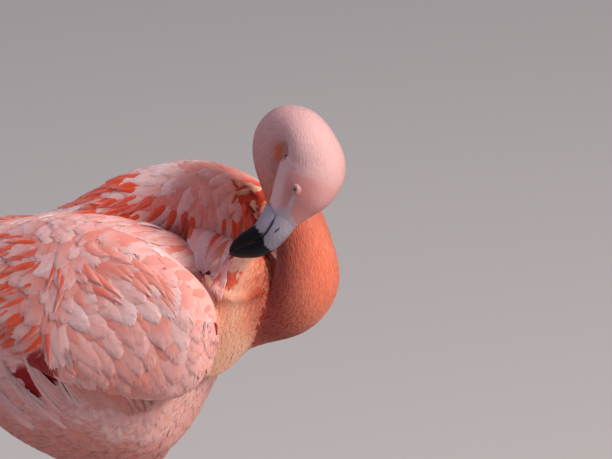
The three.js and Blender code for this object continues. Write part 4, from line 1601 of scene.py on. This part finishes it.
def jaw(name, outer, roundness, inset, parting):
    """One jaw: rounded towards its outer line, flat along the mouth, parted from it a little."""
    t = np.linspace(0, 1, BILL_RINGS)
    top, mouth = outer(t), MOUTH(t)
    rise = unit(top - mouth)
    mouth = mouth + rise * (parting * smooth(t, 0.0, 0.35) * (1 - smooth(t, 0.8, 1.0)))[:, None]
    tall = np.linalg.norm(top - mouth, axis=1)
    half = bill_width(t) * BILL_HALF_WIDTH - inset
    turn = np.linspace(0, 1, 33)
    angle = np.pi * (0.25 * turn + 0.75 * turn**2 * (3 - 2 * turn))
    upwards = np.sin(angle) ** roundness
    rows = []
    for i in range(BILL_RINGS):
        arch = mouth[i] + np.outer(np.cos(angle) * half[i], HEAD_RIGHT) + np.outer(upwards * tall[i], rise[i])
        closing = np.linspace(arch[-1], arch[0], 9)[1:-1] + rise[i] * min(1.2, tall[i] / 3)
        rows.append(np.vstack([arch, closing]))
    return solid_piece(name, *tube(np.array(rows)))


bill_upper = jaw("bill_upper_horn", CULMEN, 0.62, 0.0, 0.5)
bill_lower = jaw("bill_lower_horn", GONYS, 0.5, 0.7, 0.8)

# %% Colour the bill
HORN = np.array([0.15, 0.125, 0.165])
HORN_PALE = np.array([0.32, 0.28, 0.335])
# painted highlight: a pale tan line along the ridge of the black half
RIDGE_HIGHLIGHT = np.array([0.50, 0.36, 0.25])  # along the under edge of the black half
# the border of the black half: (crownward, forward) from the root of the bill
BORDER = [(-66, 20), (-46, 18), (-29, 24), (-24, 27), (-17, 37), (-12, 40)]


def bill_tint(points):
    """Grey white at the base, black beyond the ragged border, with painted shade along the mouth and a
    painted highlight along the ridge.
    """
    forward, crownward, rightward = head_place(points)
    border = np.interp(crownward, *np.transpose(BORDER))
    ragged = 1.3 * np.sin(crownward * 1.1) + 0.9 * np.sin(crownward * 2.7 + 1) + 0.8 * np.sin(rightward * 0.9)
    black = smooth(forward - border - ragged, -0.7, 0.7)
    streaky = 0.5 + 0.5 * np.sin(crownward * 1.7 + 3 * np.sin(forward * 0.15)) * np.sin(forward * 0.35 + 1)
    base = mix(HORN_PALE, HORN, np.clip(0.35 * streaky + 0.5 * smooth(forward, 8, 26), 0, 1))
    mouth_forward, mouth_crownward, _ = head_place(MOUTH(np.linspace(0, 1, 60)))
    from_mouth = np.abs(crownward - np.interp(forward, mouth_forward, mouth_crownward))
    # painted shade: the line where the two jaws meet is darkened nearly to black
    mouth_shade = (1 - smooth(from_mouth, 0.5, 1.3 + 0.05 * np.clip(forward, 0, 30))) * smooth(forward, 1, 7)
    colour = mix(mix(base, NIGHT, 0.9 * mouth_shade), NIGHT, black)
    # painted highlight: the ridge of the black half is lightened to tan, away from the mouth
    ridge = (1 - smooth(np.abs(rightward), 0.6, 1.4)) * smooth(forward, 44, 50) * smooth(-crownward, 20, 26)
    under = ridge * smooth(forward - 0.35 * (-crownward - 20), 36, 40)
    return mix(colour, RIDGE_HIGHLIGHT, 0.75 * under * smooth(from_mouth, 4, 7))


horn = tinted_material("bill horn", 0.3, 0.12, 350, specular=0.16)
for jaw_piece in (bill_upper, bill_lower):
    write_tint(jaw_piece, bill_tint(layout_points(jaw_piece)))
    jaw_piece.data.materials.append(horn)
    print(jaw_piece.name + ":", len(jaw_piece.data.polygons), "faces")

# %% [markdown]
# ## Eyes
#
# The eye is a glassy ball of fourteen millimetres, set so deep that only its front shows between
# the lids. The iris is a dull yellow, with a dark pupil and a thin dark ring. The rings of the
# ball lie close together at its front, so that the edge of the pupil is crisp.

# %% Make the eyes
EYE_RADIUS = 7.0
EYE_SIDE = 19.5
PUPIL, IRIS = 0.2, 0.48  # their reach, in radians from the middle of the eye
IRIS_COLOURS = np.array([[0.26, 0.22, 0.14], [0.19, 0.15, 0.08]])  # at the pupil and at the rim


def eye_axes(side):
    """Centre of the eye and the direction in which it looks."""
    centre = on_head(EYE_FORWARD, EYE_CROWNWARD, -side * EYE_SIDE)
    return centre, unit(-side * HEAD_RIGHT + 0.12 * FACING + 0.14 * CROWNWARD)


def eye_tint(reach):
    """Pupil, iris and the dark ring round it, by the angle from the middle."""
    colour = mix(*IRIS_COLOURS, smooth(reach, PUPIL, IRIS - 0.03))
    colour = mix(colour, NIGHT * 0.3, 1 - smooth(reach, PUPIL - 0.01, PUPIL + 0.02))
    return mix(colour, NIGHT, smooth(reach, IRIS - 0.02, IRIS + 0.04))


def eye(name, side):
    """The ball of one eye."""
    centre, out = eye_axes(side)
    sideways = unit(np.cross(out, CROWNWARD))
    upwards = np.cross(sideways, out)
    angles = np.concatenate([np.linspace(0, 0.9, 36)[1:], np.linspace(0.9, math.pi, 16)[1:-1]])
    around = np.linspace(0, 2 * np.pi, 48, endpoint=False)
    ring = np.outer(np.cos(around), sideways) + np.outer(np.sin(around), upwards)
    rows = [centre + EYE_RADIUS * (math.cos(angle) * out + math.sin(angle) * ring) for angle in angles]
    poles = centre + EYE_RADIUS * out, centre - EYE_RADIUS * out
    made = solid_piece("eye_ball_" + name, *tube(np.array(rows), poles), wet)
    write_tint(made, eye_tint(np.concatenate([np.repeat(angles, len(around)), [0.0, math.pi]])))
    return made


wet = tinted_material("wet eye", 0.12, 0.0, 500, coat=0.5)
eyes = {name: eye(name, side) for name, side in SIDES.items()}
print("eyes look along", [np.round(eye_axes(side)[1], 2).tolist() for side in SIDES.values()])

# %% [markdown]
# Two lids of bare skin close round each eye. They are one ring pulled into an almond, whose inner
# edge touches the ball and whose outer edge sinks into the feathers.

# %% Make the lids
# how far outwards from the opening, and how high over the ball
LID_STEPS = [(0.0, 0.15), (0.25, 0.6), (0.6, 0.75), (1.1, 0.6), (1.9, 0.4), (3.0, 0.4), (4.2, 0.4),
             (5.0, -0.2), (5.8, -3.0), (6.6, -7.0)]
OPENING = (2.9, 2.2)  # half length and half height
LID_EDGE, LID_SKIN = np.array([0.12, 0.07, 0.06]), np.array([0.40, 0.22, 0.20])


def lids(name, side):
    """A ring of thin skin that hugs the ball and opens as an almond."""
    centre, out = eye_axes(side)
    forwards = unit(FACING - (FACING @ out) * out)
    upwards = unit(np.cross(out, forwards)) * np.sign(np.cross(out, forwards) @ CROWNWARD)
    around = np.linspace(0, 2 * np.pi, 64, endpoint=False)
    rows = []
    for outwards, height in LID_STEPS:
        wide, tall = OPENING[0] + outwards, OPENING[1] + outwards * 1.05
        place = np.outer(np.cos(around) * wide, forwards) + np.outer(np.sin(around) * tall, upwards)
        reach = np.minimum(np.linalg.norm(place, axis=1), EYE_RADIUS - 0.5)
        rows.append(centre + place + np.outer(np.sqrt(EYE_RADIUS**2 - reach**2) + height, out))
    faces = wall_faces(len(rows), len(around))
    made = solid_piece("eye_lids_" + name, np.vstack(rows), faces, lid_skin, out)
    ring = np.repeat(np.linspace(0, 1, len(rows)), len(around))
    write_tint(made, mix(mix(LID_EDGE, LID_SKIN, smooth(ring, 0.1, 0.3)), BLUSH, smooth(ring, 0.3, 0.5)))
    return made


lid_skin = tinted_material("lid skin", 0.55, 0.2, 900)
eye_lids = {name: lids(name, side) for name, side in SIDES.items()}

# %% [markdown]
# ## Nostrils
#
# A narrow slit lies along each side of the upper jaw. A hole would hardly be seen in it, so a
# slim dark spindle, sunk halfway into the horn, stands for each: painted shade for the dark inside
# of the slit.

# %% Make the nostrils
NOSTRIL_LENGTH = 9


def nostril(name, side):
    """A dark slit along the upper jaw: painted shade standing for its opening."""
    along = np.linspace(0, 1, 13)
    slope = unit(on_head(22, -17) - on_head(8, -9))
    spine = on_head(12, -11) + np.outer((along - 0.5) * NOSTRIL_LENGTH, slope)
    forward, _, _ = head_place(spine)
    half = BILL_HALF_WIDTH * np.interp(forward, [0, 12, 25, 38], [1, 0.97, 0.92, 0.86]) * 0.93
    spine = spine - np.outer(side * half, HEAD_RIGHT)
    around = np.linspace(0, 2 * np.pi, 8, endpoint=False)
    ring = np.outer(np.cos(around), CROWNWARD) + np.outer(np.sin(around) * 1.4, HEAD_RIGHT)
    slim = 0.75 * np.sin(np.pi * np.clip(along, 0.02, 0.98)) ** 0.6
    return solid_piece("nostril_" + name, *tube(spine[:, None] + slim[:, None, None] * ring), nostril_shade)


# painted shade: the dark inside of each nostril slit
nostril_shade = plain_material("nostril dark", (0.02, 0.016, 0.02), 0.6)
nostrils = {name: nostril(name, side) for name, side in SIDES.items()}

# %% [markdown]
# ## Legs and feet
#
# Below the feathered thighs the legs are bare: long thin shanks, a knobbly ankle half way, and
# webbed feet. Each leg is one skin. A loft of the leg, tapering toes with knuckles, and a thin
# web with a hollow front edge are melted together by a fine voxel remesh, as the skin of the body
# was. The shanks are mauve grey; the ankles, the toes and the webs are a brighter pink.

# %% Shape one bare leg
TOES = {"inner": (-29, 69), "middle": (0, 84), "outer": (29, 74), "hind": (162, 17)}
TURN_OUT = 5  # degrees each foot points away from straight ahead
MIDDLE_TOE = TOES["middle"][1]
WEB_HALF = 1.3  # half the thickness of the web
WEB_REACH = 0.93  # how far along the toes it grows
WEB_HOLLOW = 0.26  # how deep its front edge curves in between two toes
LEG_VOXEL = 0.0011
SHANK = np.array([0.56, 0.31, 0.36])
JOINT = np.array([0.66, 0.17, 0.22])
WEB = np.array([0.66, 0.24, 0.29])
CLAW = np.array([0.030, 0.022, 0.024])


def on_foot(side, angle, distance, z):
    """A point on the floor plan of a foot, by distance and bearing from under the shin."""
    bearing = math.radians(angle + TURN_OUT) * side
    x, y = math.cos(bearing) * distance, math.sin(bearing) * distance
    return LEG_X + x, side * LEG_SPACING / 2 + y, FLOOR + z


def toe_form(side, angle, length):
    """A toe that thins towards the claw, with a knuckle at each joint."""
    arch = length / MIDDLE_TOE
    path = curve(
        on_foot(side, angle, 0, 2.6 + 3 * arch), on_foot(side, angle, length * 0.35, 2.6 + 2.4 * arch),
        on_foot(side, angle, length * 0.7, 2.6 + arch), on_foot(side, angle, length, 2.6),
    )
    wide, high = profile(6.2, 5, 4.4, 2.4), profile(6.2, 5.4, 4.3, 2.6)

    def knuckles(t):
        return 1 + 0.13 * np.sin(np.clip(t, 0, 1) * 3 * 2 * np.pi - 1.2) * (length > 20)

    return Form(along_path(path, lambda t: wide(t) * knuckles(t), lambda t: high(t) * knuckles(t)), coat=bare)


def web_mesh(side):
    """A closed thin plate between the front toes, hollow in front and sagging a little between them."""
    steps = np.linspace(0.05, 1, 16)
    rows = []
    for bearing in np.linspace(TOES["inner"][0], TOES["outer"][0], 41):
        first, second = ("inner", "middle") if bearing < 0 else ("middle", "outer")
        (low_angle, low_length), (high_angle, high_length) = TOES[first], TOES[second]
        share = (bearing - low_angle) / (high_angle - low_angle)
        straight = WEB_REACH * (low_length * (1 - share) + high_length * share)
        far = straight * (1 - WEB_HOLLOW * 4 * share * (1 - share))
        middle = 2.2 + 2.2 * (1 - steps) * (1 - 0.5 * math.sin(math.pi * share))
        top, bottom = ([on_foot(side, bearing, far * step, z) for step, z in zip(steps, middle + half)]
                       for half in (WEB_HALF, -WEB_HALF))
        rows.append(top + bottom[::-1])
    points, faces = tube(np.array(rows))
    return to_frame(points), faces


def leg_skin(name, side):
    """Leg, toes and web of one side as one closed skin that stands flat on the floor."""
    pieces = [loft_mesh(legs[name], THIGH_END - 0.03, 1, 120, 24), web_mesh(side)]
    pieces += [loft_mesh(toe_form(side, *toe), 0, 1, 24, 16) for toe in TOES.values()]
    made = mesh_object("leg_skin_" + name, *gather(pieces))
    point_outwards(made)
    melt(made, LEG_VOXEL, 3)
    made.data.polygons.foreach_set("use_smooth", [True] * len(made.data.polygons))
    points = layout_points(made)
    points[:, 2] = np.maximum(points[:, 2], FLOOR)
    made.data.vertices.foreach_set("co", to_frame(points).ravel())
    made.data.update()
    write_tint(made, leg_tint(points))
    made.data.materials.append(leg_finish)
    return made


def leg_tint(points):
    """Mauve shanks, brighter ankles and feet."""
    height = points[:, 2]
    ankle = 1 - smooth(np.abs(height - ANKLE_Z), 12, 42)
    foot = 1 - smooth(height, FLOOR + 8, FLOOR + 60)
    colour = mix(SHANK, JOINT, np.clip(0.25 * bumpy(points, 30, 51) + 0.85 * ankle + 0.8 * foot, 0, 1))
    away = np.hypot(points[:, 0] - LEG_X, np.abs(points[:, 1]) - LEG_SPACING / 2)
    return mix(colour, WEB, foot * smooth(away, 14, 40) * 0.8)


def scaly_material(name, scale, strength):
    """Bare scaled skin: the tint, darker between small rounded scales in relief."""
    material, tree, shader = surface(name, {"Roughness": 0.5, "Specular IOR Level": 0.35})
    place = node(tree, "ShaderNodeTexCoord")
    cells = node(tree, "ShaderNodeTexVoronoi", feature="DISTANCE_TO_EDGE")
    cells.inputs["Scale"].default_value = scale
    tree.links.new(place.outputs["Object"], cells.inputs["Vector"])
    scale_height = mapped(tree, cells.outputs["Distance"], {"From Max": 0.12})
    show_tint(tree, shader, mapped(tree, scale_height, {"To Min": 0.72}))
    relief(tree, shader, scale_height, strength)
    return material


leg_finish = scaly_material("scaled leg skin", 620, 0.5)
leg_skins = {name: leg_skin(name, side) for name, side in SIDES.items()}

# %% [markdown]
# Down the front of each shank and along the top of each toe runs a row of broad horny plates, as
# on every wading bird. A row is a repeat along a path, so Geometry Nodes set one small bent
# plate on every point of a guide: the points carry the turn and the size of their plate.

# %% Set the plates with Geometry Nodes
PLATE_ARC = math.radians(75)  # how far a plate reaches round each side of the leg
PLATE_STEP = 5.2


def plate():
    """A bent plate of unit size: an arc round the leg, rounded and lifted at its lower edge."""
    across, along = np.linspace(-1, 1, 9), np.linspace(-0.5, 0.62, 4)
    points = []
    for y in along:
        for x in across:
            angle = x * PLATE_ARC
            low = smooth(y, 0.1, 0.62)
            out = 1.0 + 0.055 * low - 0.03 * (1 - smooth(y, -0.5, -0.3)) - 0.06 * abs(x) ** 4
            points.append((math.cos(angle) * out, math.sin(angle) * out, -(y - 0.1 * x * x * low)))
    faces = [(i * 9 + j, (i + 1) * 9 + j, (i + 1) * 9 + j + 1, i * 9 + j + 1)
             for i in range(3) for j in range(8)]
    return mesh_object("plate_shape", points, faces)


def plate_guide(name, stretches):
    """Guide points with the turn and size of each plate; a stretch is (form, start, end, facing)."""
    places, turns, sizes, tints = [], [], [], []
    for form, start, end, facing in stretches:
        steps = np.linspace(start, end, 400)
        centre, across, up, width, rise, _ = form.section(steps)
        walked = np.concatenate([[0], np.cumsum(np.linalg.norm(np.diff(centre, axis=0), axis=1))])
        step = PLATE_STEP * (1 if facing == "front" else 0.8)
        picks = np.searchsorted(walked, np.arange(step / 2, walked[-1], step))
        for k in picks:
            ahead = unit(np.cross(across[k], up[k]))
            out = up[k]
            down = ahead if facing == "top" or (ahead @ DOWN) > 0 else -ahead
            side = unit(np.cross(-down, out))
            turn = Matrix((out, side, -down)).transposed()
            places.append(centre[k])
            turns.append(turn.to_euler())
            fit = 1.0 if facing == "front" else 0.96
            sizes.append((rise[k] * fit * MM, width[k] * fit * 0.98 * MM, step * MM))
            tints.append(leg_tint(centre[k][None])[0] * 1.06)
    guide = mesh_object(name, to_frame(np.array(places)), [])
    for title, values in (("turn", turns), ("size", sizes)):
        layer = guide.data.attributes.new(title, "FLOAT_VECTOR", "POINT")
        layer.data.foreach_set("vector", np.array(values, float).ravel())
    write_tint(guide, np.array(tints))
    return guide


def plate_nodes():
    """A tree that sets the plate on each point, turned and sized by the point's attributes."""
    tree = bpy.data.node_groups.new("plates along a guide", "GeometryNodeTree")
    for title, kind in (("Geometry", "Geometry"), ("Plate", "Object"), ("Finish", "Material")):
        tree.interface.new_socket(title, in_out="INPUT", socket_type="NodeSocket" + kind)
    tree.interface.new_socket("Geometry", in_out="OUTPUT", socket_type="NodeSocketGeometry")
    link = tree.links.new
    given, made = node(tree, "NodeGroupInput"), node(tree, "NodeGroupOutput")
    shape = node(tree, "GeometryNodeObjectInfo")
    link(given.outputs["Plate"], shape.inputs["Object"])
    points = node(tree, "GeometryNodeInstanceOnPoints")
    link(given.outputs["Geometry"], points.inputs["Points"])
    link(shape.outputs["Geometry"], points.inputs["Instance"])
    for title, socket in (("turn", "Rotation"), ("size", "Scale")):
        read = node(tree, "GeometryNodeInputNamedAttribute", data_type="FLOAT_VECTOR")
        read.inputs["Name"].default_value = title
        link(read.outputs["Attribute"], points.inputs[socket])
    joined = node(tree, "GeometryNodeRealizeInstances")
    link(points.outputs["Instances"], joined.inputs["Geometry"])
    finish = node(tree, "GeometryNodeSetMaterial")
    link(joined.outputs["Geometry"], finish.inputs["Geometry"])
    link(given.outputs["Finish"], finish.inputs["Material"])
    link(finish.outputs["Geometry"], made.inputs["Geometry"])
    return tree


def set_inputs(modifier, values):
    """Gives a Geometry Nodes modifier its inputs by name."""
    for item in modifier.node_group.interface.items_tree:
        if item.item_type == "SOCKET" and item.in_out == "INPUT" and item.name in values:
            modifier[item.identifier] = values[item.name]


plate_finish = tinted_material("horny plates", 0.42, 0.15, 700, 0.0, 0.4)
plate_shape = plate()
plate_tree = plate_nodes()
leg_plates = {}
for name, side in SIDES.items():
    stretches = [(legs[name], THIGH_END + 0.02, 0.955, "front")]
    stretches += [(toe_form(side, *toe), 0.12, 0.98, "top") for title, toe in TOES.items() if title != "hind"]
    guide = plate_guide("leg_plates_" + name, stretches)
    modifier = guide.modifiers.new("plates", "NODES")
    modifier.node_group = plate_tree
    set_inputs(modifier, {"Plate": plate_shape, "Finish": plate_finish})
    leg_plates[name] = finished_mesh(guide, "leg_plates_" + name)
    print(guide.name + ":", len(guide.data.polygons), "faces")
bpy.data.objects.remove(plate_shape)

# %% [markdown]
# Every toe ends in a short blunt claw of dark horn.

# %% Make the claws
def claw(name, side, angle, length):
    """A blunt claw that bends to the floor."""
    start = length - 1.5
    path = curve(on_foot(side, angle, start, 3.2), on_foot(side, angle, start + 5.5, 3.6),
                 on_foot(side, angle, start + 10, 1.6))
    form = Form(along_path(path, profile(2.3, 1.9, 0.5), profile(2.2, 1.8, 0.6)),
                coat=bare)
    points, faces = loft_mesh(form, 0, 1, 14, 14)
    points[:, 2] = np.maximum(points[:, 2], 0.0002)
    made = mesh_object("claw_" + name, points, faces, claw_horn)
    point_outwards(made)
    return made


claw_horn = plain_material("dark claw horn", CLAW, 0.35)
claws = {}
for side_name, side in SIDES.items():
    for toe_name, toe in TOES.items():
        claws[toe_name + "_" + side_name] = claw(toe_name + "_" + side_name, side, *toe)

# %% [markdown]
# ## Fit everything to the frame
#
# The bird is a still model, so every piece rides on its one body. The skin and the coat stand for
# the solids of flesh.

# %% Ride and replace
FLESH = ["trunk", "tail", "neck_base", "neck_1_bulge", "neck_2_rise", "neck_3_upper", "neck_4_loop", "head",
         "wing_left", "wing_right", "thigh_left", "thigh_right"]


def settle(piece, slot_name, *stands_for):
    """Rides a piece on the body and hides the solids it stands for; slot_name is not used."""
    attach(piece, "root")
    if stands_for:
        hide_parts(*stands_for)


settle(skin, "body_plumage", *FLESH)
SLOTS = {"wing": "wing_plumage", "neck": "neck_plumage", "breast": "neck_plumage", "head": "head_plumage"}
for key, piece in coat_pieces.items():
    settle(piece, SLOTS.get(key.split("_")[0], "body_plumage"))
settle(bill_upper, "bill", "bill_upper")
settle(bill_lower, "bill", "bill_lower")
for name, ball in eyes.items():
    settle(ball, "eye", "eye_" + name)
    settle(eye_lids[name], "head_plumage")
    settle(nostrils[name], "bill")

for name in SIDES:
    settle(leg_skins[name], "leg_skin", "shank_" + name, "shin_" + name, "ankle_" + name, "foot_" + name)
    settle(leg_plates[name], "leg_skin")
for name, piece in claws.items():
    settle(piece, "claw", "claw_" + name)
